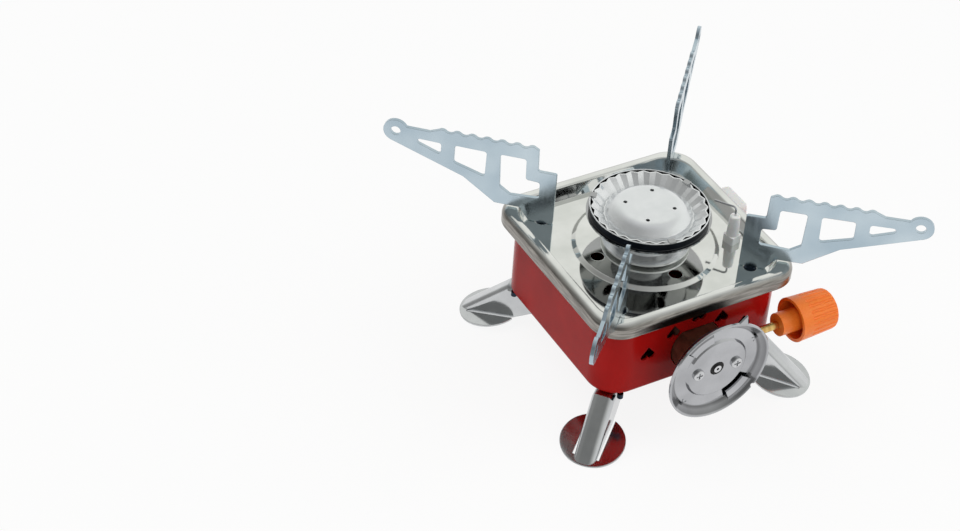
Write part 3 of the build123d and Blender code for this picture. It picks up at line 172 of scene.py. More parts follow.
# %% [markdown]
# ## Polished stainless steel
# The tray and the legs are pressed from mirror-finished stainless sheet. What the eye reads as polish is
# mostly the room around it, so the finish itself stays quiet: a high metallic value, low roughness that
# varies a little where the sheet has been handled, and hair-fine drawing lines. Real drawing lines are a
# few hundredths of a millimetre wide. Here they are drawn at about half a millimetre so that they show. The
# legs are bent after polishing, which leaves them hazier than the tray.

# %% Mirror-finished sheet for legs and tray
SMUDGE_SIZE = 16 * MM
LINE_WIDTH = 0.5 * MM
LINE_LENGTH = 30 * MM
SCRATCH_DEPTH = 0.05 * MM
PRESSED_ROUND = 0.6 * MM
polished = {}
for name, hex_dark, hex_light, clearest, haziest, line_depth in (
    ("polished_leg_steel", "#b9bbbd", "#cdcfd0", 0.1, 0.18, 0.004),
    ("polished_tray_steel", "#d9dbd7", "#e8e9e6", 0.03, 0.09, 0.02),
):
    material, tree, shader, place = new_finish(name, {"Metallic": 1.0})
    smudges = add_node(tree, "ShaderNodeTexNoise", {"Scale": 1 / SMUDGE_SIZE, "Detail": 4.0},
                       {"Vector": place})
    steel = add_node(tree, "ShaderNodeValToRGB", links={"Fac": smudges.outputs["Fac"]})
    steel.color_ramp.elements[0].position = 0.32
    steel.color_ramp.elements[0].color = colour(hex_dark)
    steel.color_ramp.elements[1].position = 0.62
    steel.color_ramp.elements[1].color = colour(hex_light)
    tree.links.new(steel.outputs["Color"], shader.inputs["Base Color"])
    haze = add_node(tree, "ShaderNodeMapRange",
                    {"From Min": 0.3, "From Max": 0.75, "To Min": clearest, "To Max": haziest},
                    {"Value": smudges.outputs["Fac"]})
    tree.links.new(haze.outputs["Result"], shader.inputs["Roughness"])
    stretch = add_node(tree, "ShaderNodeMapping",
                       {"Scale": (1 / LINE_LENGTH, 1 / LINE_WIDTH, 1 / LINE_WIDTH)}, {"Vector": place})
    lines = add_node(tree, "ShaderNodeTexNoise", {"Scale": 1.0, "Detail": 2.0},
                     {"Vector": stretch.outputs["Vector"]})
    pressed_round = add_node(tree, "ShaderNodeBevel", {"Radius": PRESSED_ROUND}, samples=BEVEL_SAMPLES)
    drawn = add_node(tree, "ShaderNodeBump", {"Strength": line_depth, "Distance": SCRATCH_DEPTH},
                     {"Height": lines.outputs["Fac"], "Normal": pressed_round.outputs["Normal"]})
    tree.links.new(drawn.outputs["Normal"], shader.inputs["Normal"])
    polished[name] = material
dress(polished["polished_leg_steel"], *[f"leg_{corner}" for corner in corners])
dress(polished["polished_tray_steel"], "top_tray")
print("dressed legs and tray in", ", ".join(polished))

# %% [markdown]
# The tray's turned-down skirt is the raw end of the sheet. It meets tables and other pans first, so it is
# dull and scuffed while the rest stays bright. Its dark grey is also painted shade: it stands in for the dark
# surroundings that the outward-facing skirt mirrors. The nodes go on in the tray's finish, the last one that
# the loop made. A mask follows the tray's outline: it measures how far a point lies outside a smaller square,
# so that it turns the rounded corners too, and it fades in over the outside of the rolled rim. A noise that
# is stretched along the skirt, but not up and down, breaks its grey into rubbed streaks.

# %% Scuffs and painted shade on the tray's skirt
TRAY_CORNER = 12.5 * MM
TRAY_HALF = 46.6 * MM
RUB_FADE = 2.4 * MM
RUB_FULL = 0.5 * MM
RUB_DULLING = 0.2
RUB_LENGTH = 9 * MM
RUB_WIDTH = 0.7 * MM
corner_middle = TRAY_HALF - TRAY_CORNER
quarter = add_node(tree, "ShaderNodeVectorMath", links={0: place}, operation="ABSOLUTE")
beyond = add_node(tree, "ShaderNodeVectorMath", {1: (corner_middle, corner_middle, 1)},
                  {0: quarter.outputs["Vector"]}, operation="SUBTRACT")
outside = add_node(tree, "ShaderNodeVectorMath", {1: (0, 0, 0)}, {0: beyond.outputs["Vector"]},
                   operation="MAXIMUM")
outward = add_node(tree, "ShaderNodeVectorMath", links={0: outside.outputs["Vector"]}, operation="LENGTH")
on_skirt = add_node(tree, "ShaderNodeMapRange",
                    {"From Min": TRAY_CORNER - RUB_FADE, "From Max": TRAY_CORNER - RUB_FULL},
                    {"Value": outward.outputs["Value"]})
rub_space = add_node(tree, "ShaderNodeMapping",
                     {"Scale": (1 / RUB_LENGTH, 1 / RUB_LENGTH, 1 / RUB_WIDTH)}, {"Vector": place})
rubs = add_node(tree, "ShaderNodeTexNoise", {"Scale": 1.0, "Detail": 4.0},
                {"Vector": rub_space.outputs["Vector"]})
# Scuffs and painted shade: the dark grey stands in for the dark reflection on the outward-facing skirt.
skirt_scuffs_and_painted_shade = add_node(tree, "ShaderNodeValToRGB", links={"Fac": rubs.outputs["Fac"]})
skirt_scuffs_and_painted_shade.color_ramp.elements[0].position = 0.3
skirt_scuffs_and_painted_shade.color_ramp.elements[0].color = colour("#6b6864")
skirt_scuffs_and_painted_shade.color_ramp.elements[1].position = 0.7
skirt_scuffs_and_painted_shade.color_ramp.elements[1].color = colour("#a5a19b")
steel_with_scuffs_and_painted_shade = add_node(tree, "ShaderNodeMix", data_type="RGBA", links={
    0: on_skirt.outputs["Result"], 6: steel.outputs["Color"], 7: skirt_scuffs_and_painted_shade.outputs["Color"]})
tree.links.new(steel_with_scuffs_and_painted_shade.outputs[2], shader.inputs["Base Color"])
rough = add_node(tree, "ShaderNodeMath", {1: RUB_DULLING}, operation="MULTIPLY_ADD", links={
    0: on_skirt.outputs["Result"], 2: haze.outputs["Result"]})
tree.links.new(rough.outputs[0], shader.inputs["Roughness"])
print("scuffed the skirt of the tray")

# %% [markdown]
# ## Zinc-plated supports
# The pan supports are stamped from mild steel and zinc plated with a blue passivation, which gives a cool
# grey with a soft sheen. Plating clouds slowly over a couple of centimetres and leaves a fine vertical
# grain from rolling. The stamped edges of the teeth and windows catch the light, so the Bevel node serves
# here too.

# %% Blue zinc for the pan supports
zinc, tree, shader, place = new_finish("blue_zinc_plating", {"Metallic": 1.0})
GRAIN_WIDTH = 1.2 * MM
GRAIN_LENGTH = 9 * MM
PLATING_CLOUD = 20 * MM
plating = add_node(tree, "ShaderNodeTexNoise", {"Scale": 1 / PLATING_CLOUD, "Detail": 2.0}, {"Vector": place})
blue = add_node(tree, "ShaderNodeValToRGB", links={"Fac": plating.outputs["Fac"]})
blue.color_ramp.elements[0].position = 0.3
blue.color_ramp.elements[0].color = colour("#acbdc8")
blue.color_ramp.elements[1].position = 0.7
blue.color_ramp.elements[1].color = colour("#c3d1d9")
tree.links.new(blue.outputs["Color"], shader.inputs["Base Color"])
grain_space = add_node(tree, "ShaderNodeMapping",
                       {"Scale": (1 / GRAIN_WIDTH, 1 / GRAIN_WIDTH, 1 / GRAIN_LENGTH)}, {"Vector": place})
grain = add_node(tree, "ShaderNodeTexNoise", {"Scale": 1.0, "Detail": 2.0},
                 {"Vector": grain_space.outputs["Vector"]})
sheen = add_node(tree, "ShaderNodeMapRange",
                 {"From Min": 0.25, "From Max": 0.75, "To Min": 0.2, "To Max": 0.26},
                 {"Value": grain.outputs["Fac"]})
tree.links.new(sheen.outputs["Result"], shader.inputs["Roughness"])
edges = add_node(tree, "ShaderNodeBevel", {"Radius": EDGE_ROUND}, samples=BEVEL_SAMPLES)
rolled = add_node(tree, "ShaderNodeBump", {"Strength": 0.012, "Distance": SCRATCH_DEPTH},
                  {"Height": grain.outputs["Fac"], "Normal": edges.outputs["Normal"]})
tree.links.new(rolled.outputs["Normal"], shader.inputs["Normal"])
dress(zinc, *[f"pan_support_{corner}" for corner in corners])
print("dressed the supports in", zinc.name)

# %% [markdown]
# ## Burner metals
# Cap and collar are bright pressed sheet with a smooth satin skin. The flame ring is the same sheet, and
# the gas burns along its outside. Where a face looks away from the burner's axis it is painted dark as
# painted shade, so the gaps between the flutes read dark. The cup round it has an upper band of painted
# shade, standing in for the shadow and dark reflection on that wall: its colour changes with height, grey
# steel below the band, blue-black on it, and grey again at the top edge.

# %% Satin sheet for cap and collar
satin, tree, shader, place = new_finish("satin_pressed_sheet", {"Metallic": 0.75})
SKIN_SIZE = 7 * MM
skin = add_node(tree, "ShaderNodeTexNoise", {"Scale": 1 / SKIN_SIZE, "Detail": 3.0}, {"Vector": place})
pale = add_node(tree, "ShaderNodeValToRGB", links={"Fac": skin.outputs["Fac"]})
pale.color_ramp.elements[0].position = 0.3
pale.color_ramp.elements[0].color = colour("#e2e5e6")
pale.color_ramp.elements[1].position = 0.7
pale.color_ramp.elements[1].color = colour("#eceeef")
tree.links.new(pale.outputs["Color"], shader.inputs["Base Color"])
soft = add_node(tree, "ShaderNodeMapRange",
                {"From Min": 0.3, "From Max": 0.7, "To Min": 0.2, "To Max": 0.26},
                {"Value": skin.outputs["Fac"]})
tree.links.new(soft.outputs["Result"], shader.inputs["Roughness"])
dress(satin, "burner_cap", "burner_collar")

# %% Flame ring, bright inside, with painted shade outside
flame, tree, shader, place = new_finish("flame_ring_with_painted_shade", {"Metallic": 0.7})
flat_place = add_node(tree, "ShaderNodeVectorMath", {1: (1, 1, 0)}, {0: place}, operation="MULTIPLY")
spoke = add_node(tree, "ShaderNodeVectorMath", links={0: flat_place.outputs["Vector"]}, operation="NORMALIZE")
facing = add_node(tree, "ShaderNodeNewGeometry")
outer = add_node(tree, "ShaderNodeVectorMath", operation="DOT_PRODUCT", links={
    0: facing.outputs["Normal"], 1: spoke.outputs["Vector"]})
# Painted shade: faces that look away from the axis are darkened so the gaps between the flutes read dark.
gap_shade_mask = add_node(tree, "ShaderNodeMapRange", {"From Min": 0.1, "From Max": 0.4},
                {"Value": outer.outputs["Value"]})
skin = add_node(tree, "ShaderNodeTexNoise", {"Scale": 1 / SKIN_SIZE, "Detail": 3.0}, {"Vector": place})
pale = add_node(tree, "ShaderNodeValToRGB", links={"Fac": skin.outputs["Fac"]})
pale.color_ramp.elements[0].position = 0.3
pale.color_ramp.elements[0].color = colour("#dfe1e2")
pale.color_ramp.elements[1].position = 0.7
pale.color_ramp.elements[1].color = colour("#ebedee")
ring_with_gap_shade = add_node(tree, "ShaderNodeMix", {7: colour("#16181b")},
                  {0: gap_shade_mask.outputs["Result"], 6: pale.outputs["Color"]}, data_type="RGBA")
tree.links.new(ring_with_gap_shade.outputs[2], shader.inputs["Base Color"])
dull = add_node(tree, "ShaderNodeMapRange", {"To Min": 0.13, "To Max": 0.6},
                {"Value": gap_shade_mask.outputs["Result"]})
tree.links.new(dull.outputs["Result"], shader.inputs["Roughness"])
dress(flame, "flame_ring")
print("dressed cap and ring in", satin.name, "and", flame.name)

# %% Grey cup with a band of painted shade
cup, tree, shader, place = new_finish("cup_with_painted_shade_band", {"Metallic": 1.0})
BAND_FROM = 73.15 * MM
BAND_TO = 76.2 * MM
height = add_node(tree, "ShaderNodeSeparateXYZ", links={"Vector": place})
over = add_node(tree, "ShaderNodeMath", {1: BAND_FROM}, {0: height.outputs["Z"]}, operation="GREATER_THAN")
under = add_node(tree, "ShaderNodeMath", {1: BAND_TO}, {0: height.outputs["Z"]}, operation="LESS_THAN")
in_band = add_node(tree, "ShaderNodeMath", operation="MULTIPLY", links={
    0: over.outputs[0], 1: under.outputs[0]})
# Painted shade: the blue-black band stands in for the shadow and dark reflection on the cup's upper wall.
band_mottle = add_node(tree, "ShaderNodeTexNoise", {"Scale": 1 / SKIN_SIZE, "Detail": 3.0}, {"Vector": place})
black = add_node(tree, "ShaderNodeValToRGB", links={"Fac": band_mottle.outputs["Fac"]})
black.color_ramp.elements[0].color = colour("#0d1015")
black.color_ramp.elements[1].color = colour("#262c35")
cup_with_shade_band = add_node(tree, "ShaderNodeMix", {6: colour("#aaabac")},
                    {0: in_band.outputs[0], 7: black.outputs["Color"]}, data_type="RGBA")
tree.links.new(cup_with_shade_band.outputs[2], shader.inputs["Base Color"])
band_sheen = add_node(tree, "ShaderNodeMapRange", {"To Min": 0.07, "To Max": 0.4},
                      {"Value": in_band.outputs[0]})
tree.links.new(band_sheen.outputs["Result"], shader.inputs["Roughness"])
dress(cup, "burner_cup")
print("dressed the cup in", cup.name)

# %% [markdown]
# ## Pressed and plated steel
# The cartridge plate is a plated pressing. The press leaves faint rings round its axis, so its grain is a
# set of concentric bands, centred on the valve with a Mapping node. A ramp over the distance from the axis
# paints shade on the crease and the wall of the dish, while its floor and lip stay bright: it stands in for
# the shade and dark reflections in the dish.
# The small fasteners share a plain bright plating, and the stops that peep out of dark corners are blued
# instead. The studs get the same dark finish as painted shade, so that they read as the shaded pivot holes
# they sit in.

# %% Plate with concentric press marks
VALVE_HEIGHT = 36.0 * MM
RING_SPACING = 1.1 * MM
PLATE_RADIUS = 23.4 * MM
FLOOR_EDGE = 19.2 * MM
CREASE = 19.9 * MM
WALL_FROM = 20.8 * MM
WALL_TO = 22.2 * MM
LIP_FROM = 22.6 * MM
pressed, tree, shader, place = new_finish("plated_pressing", {"Metallic": 1.0})
centred = add_node(tree, "ShaderNodeMapping", {"Location": (0, 0, -VALVE_HEIGHT)}, {"Vector": place})
rings = add_node(tree, "ShaderNodeTexWave",
                 {"Scale": 1 / (20 * RING_SPACING), "Distortion": 1.2, "Detail": 2.0},
                 {"Vector": centred.outputs["Vector"]}, wave_type="RINGS", rings_direction="Y")
tint = add_node(tree, "ShaderNodeTexNoise", {"Scale": 1 / SMUDGE_SIZE, "Detail": 4.0}, {"Vector": place})
plated_grey = add_node(tree, "ShaderNodeValToRGB", links={"Fac": tint.outputs["Fac"]})
plated_grey.color_ramp.elements[0].position = 0.3
plated_grey.color_ramp.elements[0].color = colour("#a6a7aa")
plated_grey.color_ramp.elements[1].position = 0.7
plated_grey.color_ramp.elements[1].color = colour("#bcbdc0")
flat_place = add_node(tree, "ShaderNodeVectorMath", {1: (1, 0, 1)}, {0: centred.outputs["Vector"]},
                      operation="MULTIPLY")
reach = add_node(tree, "ShaderNodeVectorMath", links={0: flat_place.outputs["Vector"]}, operation="LENGTH")
reach_share = add_node(tree, "ShaderNodeMath", {1: PLATE_RADIUS}, {0: reach.outputs["Value"]},
                       operation="DIVIDE")
# Painted shade: the crease and the wall of the dish are darker than the floor and lip.
painted_shade_by_reach = add_node(tree, "ShaderNodeValToRGB", links={"Fac": reach_share.outputs[0]})
painted_shade_by_reach.color_ramp.elements[0].position = FLOOR_EDGE / PLATE_RADIUS
painted_shade_by_reach.color_ramp.elements[0].color = colour("#ffffff")
painted_shade_by_reach.color_ramp.elements[1].position = LIP_FROM / PLATE_RADIUS
painted_shade_by_reach.color_ramp.elements[1].color = colour("#ffffff")
for reached, hex_code in ((CREASE, "#a2a2a2"), (WALL_FROM, "#d0d0d0"), (WALL_TO, "#bbbbbb")):
    painted_shade_by_reach.color_ramp.elements.new(reached / PLATE_RADIUS).color = colour(hex_code)
plated_grey_with_painted_shade = add_node(tree, "ShaderNodeMix", {0: 1.0}, data_type="RGBA", blend_type="MULTIPLY", links={
    6: plated_grey.outputs["Color"], 7: painted_shade_by_reach.outputs["Color"]})
tree.links.new(plated_grey_with_painted_shade.outputs[2], shader.inputs["Base Color"])
matt = add_node(tree, "ShaderNodeMapRange", {"To Min": 0.07, "To Max": 0.13}, {"Value": rings.outputs["Fac"]})
tree.links.new(matt.outputs["Result"], shader.inputs["Roughness"])
rounded = add_node(tree, "ShaderNodeBevel", {"Radius": EDGE_ROUND}, samples=BEVEL_SAMPLES)
marks = add_node(tree, "ShaderNodeBump", {"Strength": 0.03, "Distance": SCRATCH_DEPTH},
                 {"Height": rings.outputs["Fac"], "Normal": rounded.outputs["Normal"]})
tree.links.new(marks.outputs["Normal"], shader.inputs["Normal"])
dress(pressed, "cartridge_plate")
print("dressed the plate in", pressed.name)

# %% Bright fasteners, and blued steel that also paints shade
fastener_finish = {}
for name, hex_dark, hex_light in (
    ("bright_plated_steel", "#b4b5b8", "#dfe0e1"),
    ("blued_steel_and_painted_shade", "#1a2029", "#333d4a"),
):
    material, tree, shader, place = new_finish(name, {"Metallic": 1.0})
    wear = add_node(tree, "ShaderNodeTexNoise", {"Scale": 1 / SKIN_SIZE, "Detail": 3.0}, {"Vector": place})
    shade = add_node(tree, "ShaderNodeValToRGB", links={"Fac": wear.outputs["Fac"]})
    shade.color_ramp.elements[0].color = colour(hex_dark)
    shade.color_ramp.elements[1].color = colour(hex_light)
    tree.links.new(shade.outputs["Color"], shader.inputs["Base Color"])
    worn = add_node(tree, "ShaderNodeMapRange", {"To Min": 0.14, "To Max": 0.32},
                    {"Value": wear.outputs["Fac"]})
    tree.links.new(worn.outputs["Result"], shader.inputs["Roughness"])
    fastener_finish[name] = material
dress(fastener_finish["bright_plated_steel"], "pivot_bushes", "leg_rivets", "valve_bracket", "valve_nut",
      "bracket_rivets", "plate_screws", "burner_nut", "igniter_clip", "igniter_spring", "electrode_clip",
      "electrode_wire", "gland_nut", "inlet_nozzle", "mixing_tube",
      *[f"support_clip_{corner}" for corner in corners])
# The stops are blued; on the studs the dark finish is painted shade for the pivot holes they sit in.
dress(fastener_finish["blued_steel_and_painted_shade"], "leg_stops", *[f"support_stud_{corner}" for corner in corners])
print("dressed the fasteners in", ", ".join(fastener_finish))

# %% [markdown]
# ## Brass, and the valve casting with painted reflection
# The stem and jet are turned brass, with a warm colour and fine rings from the lathe. The valve body is a
# casting painted brown as a painted reflection: the brown stands in for the dark red of the shell that its
# metal mirrors. It is a duller, half-metallic surface with blotches a few millimetres across.

# %% Brass and casting
brass, tree, shader, place = new_finish("turned_brass", {"Metallic": 1.0, "Roughness": 0.2})
LATHE_SPACING = 0.4 * MM
lathe = add_node(tree, "ShaderNodeTexWave", {"Scale": 1 / (20 * LATHE_SPACING), "Distortion": 0.6},
                 {"Vector": place}, bands_direction="X")
gold = add_node(tree, "ShaderNodeValToRGB", links={"Fac": lathe.outputs["Fac"]})
gold.color_ramp.elements[0].color = colour("#cca564")
gold.color_ramp.elements[1].color = colour("#dfbd7a")
tree.links.new(gold.outputs["Color"], shader.inputs["Base Color"])
dress(brass, "valve_stem", "gas_jet")

casting, tree, shader, place = new_finish("casting_with_painted_reflection", {"Metallic": 0.55, "Roughness": 0.38})
BLOTCH_SIZE = 4 * MM
BLOTCH_DEPTH = 0.1 * MM
blotches = add_node(tree, "ShaderNodeTexNoise", {"Scale": 1 / BLOTCH_SIZE, "Detail": 4.0}, {"Vector": place})
# Painted reflection: the brown stands in for the dark red shell mirrored by the metal.
brown = add_node(tree, "ShaderNodeValToRGB", links={"Fac": blotches.outputs["Fac"]})
brown.color_ramp.elements[0].position = 0.3
brown.color_ramp.elements[0].color = colour("#583628")
brown.color_ramp.elements[1].position = 0.7
brown.color_ramp.elements[1].color = colour("#835542")
tree.links.new(brown.outputs["Color"], shader.inputs["Base Color"])
cast_skin = add_node(tree, "ShaderNodeBump", {"Strength": 0.12, "Distance": BLOTCH_DEPTH},
                     {"Height": blotches.outputs["Fac"]})
tree.links.new(cast_skin.outputs["Normal"], shader.inputs["Normal"])
dress(casting, "valve_body")
print("dressed the valve in", brass.name, "and", casting.name)

# %% [markdown]
# ## Plastics, ceramic and rubber
# The knob is a moulded orange plastic that lets a little light into its skin, so it glows where it is
# thin. The button is a white moulding and the electrode's holder a glazed ceramic: both scatter light
# under the surface too. A fine spark-eroded mould texture of about half a millimetre keeps the plastics
# from looking like glass.

# %% Mouldings and glaze
TEXTURE_SIZE = 0.5 * MM
GLOW_DEPTH = 0.8 * MM
moulded = {}
for name, hex_dark, hex_light, roughness, glow in (
    ("orange_moulding", "#f6741a", "#ff8d36", 0.36, 0.1),
    ("white_moulding", "#ebebe9", "#f6f6f5", 0.32, 0.10),
    ("glazed_ceramic", "#f6f6f4", "#fefefd", 0.18, 0.10),
    ("black_moulding", "#0e0e0f", "#1b1b1c", 0.45, 0.0),
    ("black_rubber", "#0b0b0b", "#161616", 0.7, 0.0),
):
    material, tree, shader, place = new_finish(name, {
        "Roughness": roughness, "IOR": 1.46, "Subsurface Weight": glow, "Subsurface Scale": GLOW_DEPTH})
    fine = add_node(tree, "ShaderNodeTexNoise", {"Scale": 1 / TEXTURE_SIZE, "Detail": 2.0}, {"Vector": place})
    shade = add_node(tree, "ShaderNodeValToRGB", links={"Fac": fine.outputs["Fac"]})
    shade.color_ramp.elements[0].position = 0.25
    shade.color_ramp.elements[0].color = colour(hex_dark)
    shade.color_ramp.elements[1].position = 0.75
    shade.color_ramp.elements[1].color = colour(hex_light)
    tree.links.new(shade.outputs["Color"], shader.inputs["Base Color"])
    texture = add_node(tree, "ShaderNodeBump", {"Strength": 0.05, "Distance": SCRATCH_DEPTH},
                       {"Height": fine.outputs["Fac"]})
    tree.links.new(texture.outputs["Normal"], shader.inputs["Normal"])
    moulded[name] = material
dress(moulded["orange_moulding"], "control_knob")
dress(moulded["white_moulding"], "igniter_button")
dress(moulded["glazed_ceramic"], "electrode_insulator")
dress(moulded["black_moulding"], "igniter_body")
dress(moulded["black_rubber"], "stem_seal", "inlet_seal", "ignition_lead")
print("dressed", ", ".join(moulded))

# %% [markdown]
# ## Rolled and stamped details
# Two kinds of fine detail are too small for the solids. The cup's edge is rolled over into a bright bead,
# and the press that forms the cartridge plate leaves two small crescents in its floor. Both are rounds
# carried along a circle. So a small circle is spun about an axis, and a crescent is then half of such a
# ring, cut by bisecting it and closing the cut. Doubles are merged before the normals are turned
# outwards, because a full spin meets itself in a seam.

# %% A spun bead
MERGE_DISTANCE = 0.002 * MM
SECTION_POINTS = 10


def spun_bead(name, middle, axis, radius, thickness, steps):
    """Spins a small circle round an axis into a closed ring of round section."""
    bpy.ops.object.select_all(action="DESELECT")
    outward = Vector(axis).orthogonal().normalized()
    section = outward.to_track_quat("Z", "Y").to_matrix().to_4x4()
    flat = Matrix.Rotation(math.pi / 2, 4, Vector(axis))
    bpy.ops.mesh.primitive_circle_add(vertices=SECTION_POINTS, radius=thickness)
    bead = bpy.context.object
    bead.name = name
    bead.matrix_world = Matrix.Translation(Vector(middle) + outward * radius) @ flat @ section
    bpy.ops.object.transform_apply(location=True, rotation=True, scale=True)
    bpy.ops.object.mode_set(mode="EDIT")
    bpy.ops.mesh.select_all(action="SELECT")
    bpy.ops.mesh.spin(steps=steps, angle=2 * math.pi, center=middle, axis=axis)
    bpy.ops.mesh.select_all(action="SELECT")
    bpy.ops.mesh.remove_doubles(threshold=MERGE_DISTANCE)
    bpy.ops.mesh.normals_make_consistent(inside=False)
    bpy.ops.object.mode_set(mode="OBJECT")
    bpy.ops.object.shade_smooth()
    return bead


# %% Rolled edge of the burner cup
CUP_TOP = 76.4 * MM
CUP_EDGE_RADIUS = 24.31 * MM
CUP_BEAD = 0.27 * MM
CUP_STEPS = 160
rolled_edge = spun_bead("cup_rolled_edge", (0, 0, CUP_TOP), (0, 0, 1), CUP_EDGE_RADIUS, CUP_BEAD, CUP_STEPS)
rolled_edge.data.materials.append(satin)
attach(rolled_edge, "stove_body")
print(rolled_edge.name, len(rolled_edge.data.vertices), "points")

# %% Two crescents stamped in the plate's floor
PLATE_FLOOR = -57.2 * MM
CRESCENT_REACH = 18.3 * MM
CRESCENT_RADIUS = 1.1 * MM
CRESCENT_BEAD = 0.22 * MM
CRESCENT_STEPS = 36
for name, angle in (("plate_crescent_upper", 26.5), ("plate_crescent_lower", 224.9)):
    outward = Vector((math.cos(math.radians(angle)), 0, math.sin(math.radians(angle))))
    middle = Vector((0, PLATE_FLOOR, VALVE_HEIGHT)) + outward * CRESCENT_REACH
    crescent = spun_bead(name, middle, (0, 1, 0), CRESCENT_RADIUS, CRESCENT_BEAD, CRESCENT_STEPS)
    bpy.ops.object.mode_set(mode="EDIT")
    bpy.ops.mesh.select_all(action="SELECT")
    bpy.ops.mesh.bisect(plane_co=middle, plane_no=outward, use_fill=True, clear_inner=True)
    bpy.ops.object.mode_set(mode="OBJECT")
    bpy.ops.object.shade_smooth_by_angle(angle=math.radians(50))
    crescent.data.materials.append(pressed)
    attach(crescent, "stove_body")
    print(crescent.name, len(crescent.data.vertices), "points")

# %% [markdown]
# Behind the plate a thin dark ring closes the two slots, so that no daylight shows through them. It is a
# dark sheet put there as painted shade, standing in for the dark behind the slots. It starts as a circle, is
# extruded inwards by scaling the new edge, and gets its thickness from a Solidify modifier.

# %% Dark ring of painted shade behind the plate
RING_PLACE = Vector((0, -56.0 * MM, VALVE_HEIGHT))
RING_OUTSIDE = 19.8 * MM
RING_INSIDE = 12.2 * MM
RING_SHEET = 0.4 * MM
RING_POINTS = 96
bpy.ops.object.select_all(action="DESELECT")
# Painted shade: this dark sheet only stands in for the dark behind the plate's slots.
bpy.ops.mesh.primitive_circle_add(
    vertices=RING_POINTS, radius=RING_OUTSIDE, location=RING_PLACE, rotation=(math.pi / 2, 0, 0))
slot_shade_sheet = bpy.context.object
slot_shade_sheet.name = "plate_slot_shade_sheet"
bpy.ops.object.transform_apply(location=True, rotation=True, scale=True)
bpy.ops.object.mode_set(mode="EDIT")
bpy.ops.mesh.select_all(action="SELECT")
bpy.ops.mesh.extrude_edges_move()
narrower = RING_INSIDE / RING_OUTSIDE
bpy.ops.transform.resize(value=(narrower, 1, narrower), center_override=RING_PLACE)
bpy.ops.mesh.select_all(action="SELECT")
bpy.ops.mesh.normals_make_consistent(inside=False)
bpy.ops.object.mode_set(mode="OBJECT")
thickness = slot_shade_sheet.modifiers.new("sheet", "SOLIDIFY")
thickness.thickness = RING_SHEET
thickness.offset = 0
bpy.ops.object.modifier_apply(modifier="sheet")
slot_shade_sheet.data.materials.append(fastener_finish["blued_steel_and_painted_shade"])
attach(slot_shade_sheet, "stove_body")
print(slot_shade_sheet.name, len(slot_shade_sheet.data.polygons), "faces")

# %% [markdown]
# The igniter's return spring gets shorter when the button goes in, which a rigid solid cannot do. A copy of
# its coil takes its place. The copy is merged into one closed skin.

# %% A merged copy of the return spring
coil = bpy.data.objects.new("igniter_return_coil", stove["igniter_spring"].data.copy())
bpy.context.collection.objects.link(coil)
bpy.ops.object.select_all(action="DESELECT")
coil.select_set(True)
bpy.context.view_layer.objects.active = coil
bpy.ops.object.mode_set(mode="EDIT")
bpy.ops.mesh.select_all(action="SELECT")
bpy.ops.mesh.remove_doubles(threshold=MERGE_DISTANCE)
bpy.ops.object.mode_set(mode="OBJECT")
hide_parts("igniter_spring")
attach(coil, "stove_body")
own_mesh(coil)

# %% [markdown]
# ## Floor and studio light
# Product pictures like this one are taken on white paper under large soft lamps. To the camera and in
# reflections the paper is nearly pure white, while as a lamp for the stove it is only ordinary paper. The
# Light Path node tells these apart, so the white costs no extra light on the object, and a little of the
# paper's own shading stays in view to keep the shadow. The lamps stay out of reflections, so that bright
# steel mirrors the room and not three hard squares.

# %% White paper
PAPER_SIZE = 8.0
SEEN_WHITE = 0.88
PAPER_DROP = 0.02 * MM
bpy.ops.object.select_all(action="DESELECT")
bpy.ops.mesh.primitive_plane_add(size=PAPER_SIZE, location=(0, 0, -PAPER_DROP))
paper = bpy.context.object
paper.name = "paper_floor"
white_paper, tree, shader, _ = new_finish("white_paper", {
    "Base Color": colour("#f8f8f7"), "Roughness": 0.9, "Specular IOR Level": 0.1})
path = add_node(tree, "ShaderNodeLightPath")
mirrored = add_node(tree, "ShaderNodeMath", operation="MAXIMUM", links={
    0: path.outputs["Is Glossy Ray"], 1: path.outputs["Is Transmission Ray"]})
seen = add_node(tree, "ShaderNodeMath", operation="MAXIMUM", links={
    0: path.outputs["Is Camera Ray"], 1: mirrored.outputs[0]})
share = add_node(tree, "ShaderNodeMath", {1: SEEN_WHITE}, {0: seen.outputs[0]}, operation="MULTIPLY")
glow = add_node(tree, "ShaderNodeEmission", {"Color": colour("#ffffff"), "Strength": 1.0})
blended = add_node(tree, "ShaderNodeMixShader", links={
    0: share.outputs[0], 1: shader.outputs["BSDF"], 2: glow.outputs["Emission"]})
tree.links.new(blended.outputs["Shader"], tree.nodes["Material Output"].inputs["Surface"])
paper.data.materials.append(white_paper)
print("paper", PAPER_SIZE, "m wide")

# %% Soft lamps
def soft_lamp(name, place, target, size, watts):
    """Adds a square soft box that points at a target."""
    lamp = bpy.data.lights.new(name, "AREA")
    lamp.size = size
    lamp.energy = watts
    holder = bpy.data.objects.new(name, lamp)
    holder.visible_glossy = False
    bpy.context.collection.objects.link(holder)
    aim = (Vector(target) - Vector(place)).to_track_quat("-Z", "Y")
    holder.matrix_world = Matrix.Translation(place) @ aim.to_matrix().to_4x4()


STOVE_MIDDLE = (0, 0, 0.05)
soft_lamp("key_box", (-0.55, 0.35, 1.1), STOVE_MIDDLE, 1.1, 6.2)
soft_lamp("side_box", (0.9, -0.5, 0.8), STOVE_MIDDLE, 0.9, 5.2)
soft_lamp("front_box", (-0.3, -1.2, 0.7), STOVE_MIDDLE, 0.7, 3.0)
print("three soft lamps")

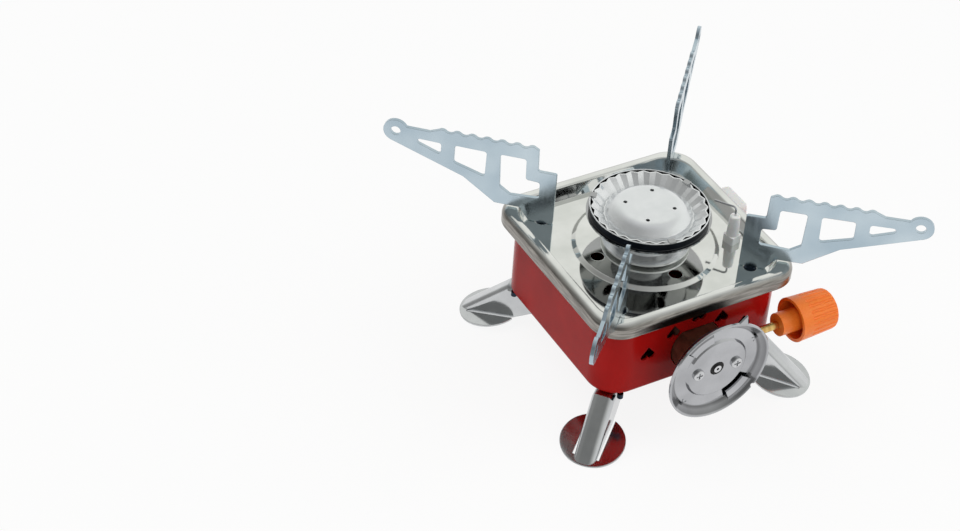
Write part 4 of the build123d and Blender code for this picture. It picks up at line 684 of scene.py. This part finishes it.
# %% [markdown]
# Polished steel shows whatever is around it, so the room matters as much as the lamps: a pale back wall
# and right side that the tray mirrors, a greyer ceiling, and a dim side behind the camera.
# That gives the rounded rim its dark and bright lines. As with the paper, the room is brighter to the eye
# and in reflections than it is as a lamp.

# %% The room that polished steel reflects
BACK_WEIGHT = 0.2
world = bpy.data.worlds.new("pale_studio")
bpy.context.scene.world = world
world.use_nodes = True
tree = world.node_tree
backdrop = tree.nodes["Background"]
direction = add_node(tree, "ShaderNodeTexCoord").outputs["Generated"]
split = add_node(tree, "ShaderNodeSeparateXYZ", links={"Vector": direction})
by_height = add_node(tree, "ShaderNodeValToRGB", links={"Fac": split.outputs["Z"]})
ramp = by_height.color_ramp
ramp.elements[0].position = 0.0
ramp.elements[0].color = colour("#f6f6f5")
ramp.elements[1].position = 1.0
ramp.elements[1].color = colour("#cfd0d1")
for position, hex_code in ((0.62, "#f3f4f1"), (0.8, "#d4d5d3")):
    ramp.elements.new(position).color = colour(hex_code)
bearing = add_node(tree, "ShaderNodeMath", {1: BACK_WEIGHT}, operation="MULTIPLY_ADD", links={
    0: split.outputs["Y"], 2: split.outputs["X"]})
by_side = add_node(tree, "ShaderNodeMapRange",
                   {"From Min": -0.45, "From Max": 0.35, "To Min": 0.38, "To Max": 1.0},
                   {"Value": bearing.outputs[0]})
room = add_node(tree, "ShaderNodeVectorMath", operation="MULTIPLY", links={
    0: by_height.outputs["Color"], 1: by_side.outputs["Result"]})
tree.links.new(room.outputs["Vector"], backdrop.inputs["Color"])

# %% Brighter to the eye than as a lamp
LAMP_STRENGTH = 0.66
SEEN_STRENGTH = 1.0
path = add_node(tree, "ShaderNodeLightPath")
mirrored = add_node(tree, "ShaderNodeMath", operation="MAXIMUM", links={
    0: path.outputs["Is Glossy Ray"], 1: path.outputs["Is Transmission Ray"]})
seen = add_node(tree, "ShaderNodeMath", operation="MAXIMUM", links={
    0: path.outputs["Is Camera Ray"], 1: mirrored.outputs[0]})
strength = add_node(tree, "ShaderNodeMapRange", {"To Min": LAMP_STRENGTH, "To Max": SEEN_STRENGTH},
                    {"Value": seen.outputs[0]})
tree.links.new(strength.outputs["Result"], backdrop.inputs["Strength"])
print("room ready")
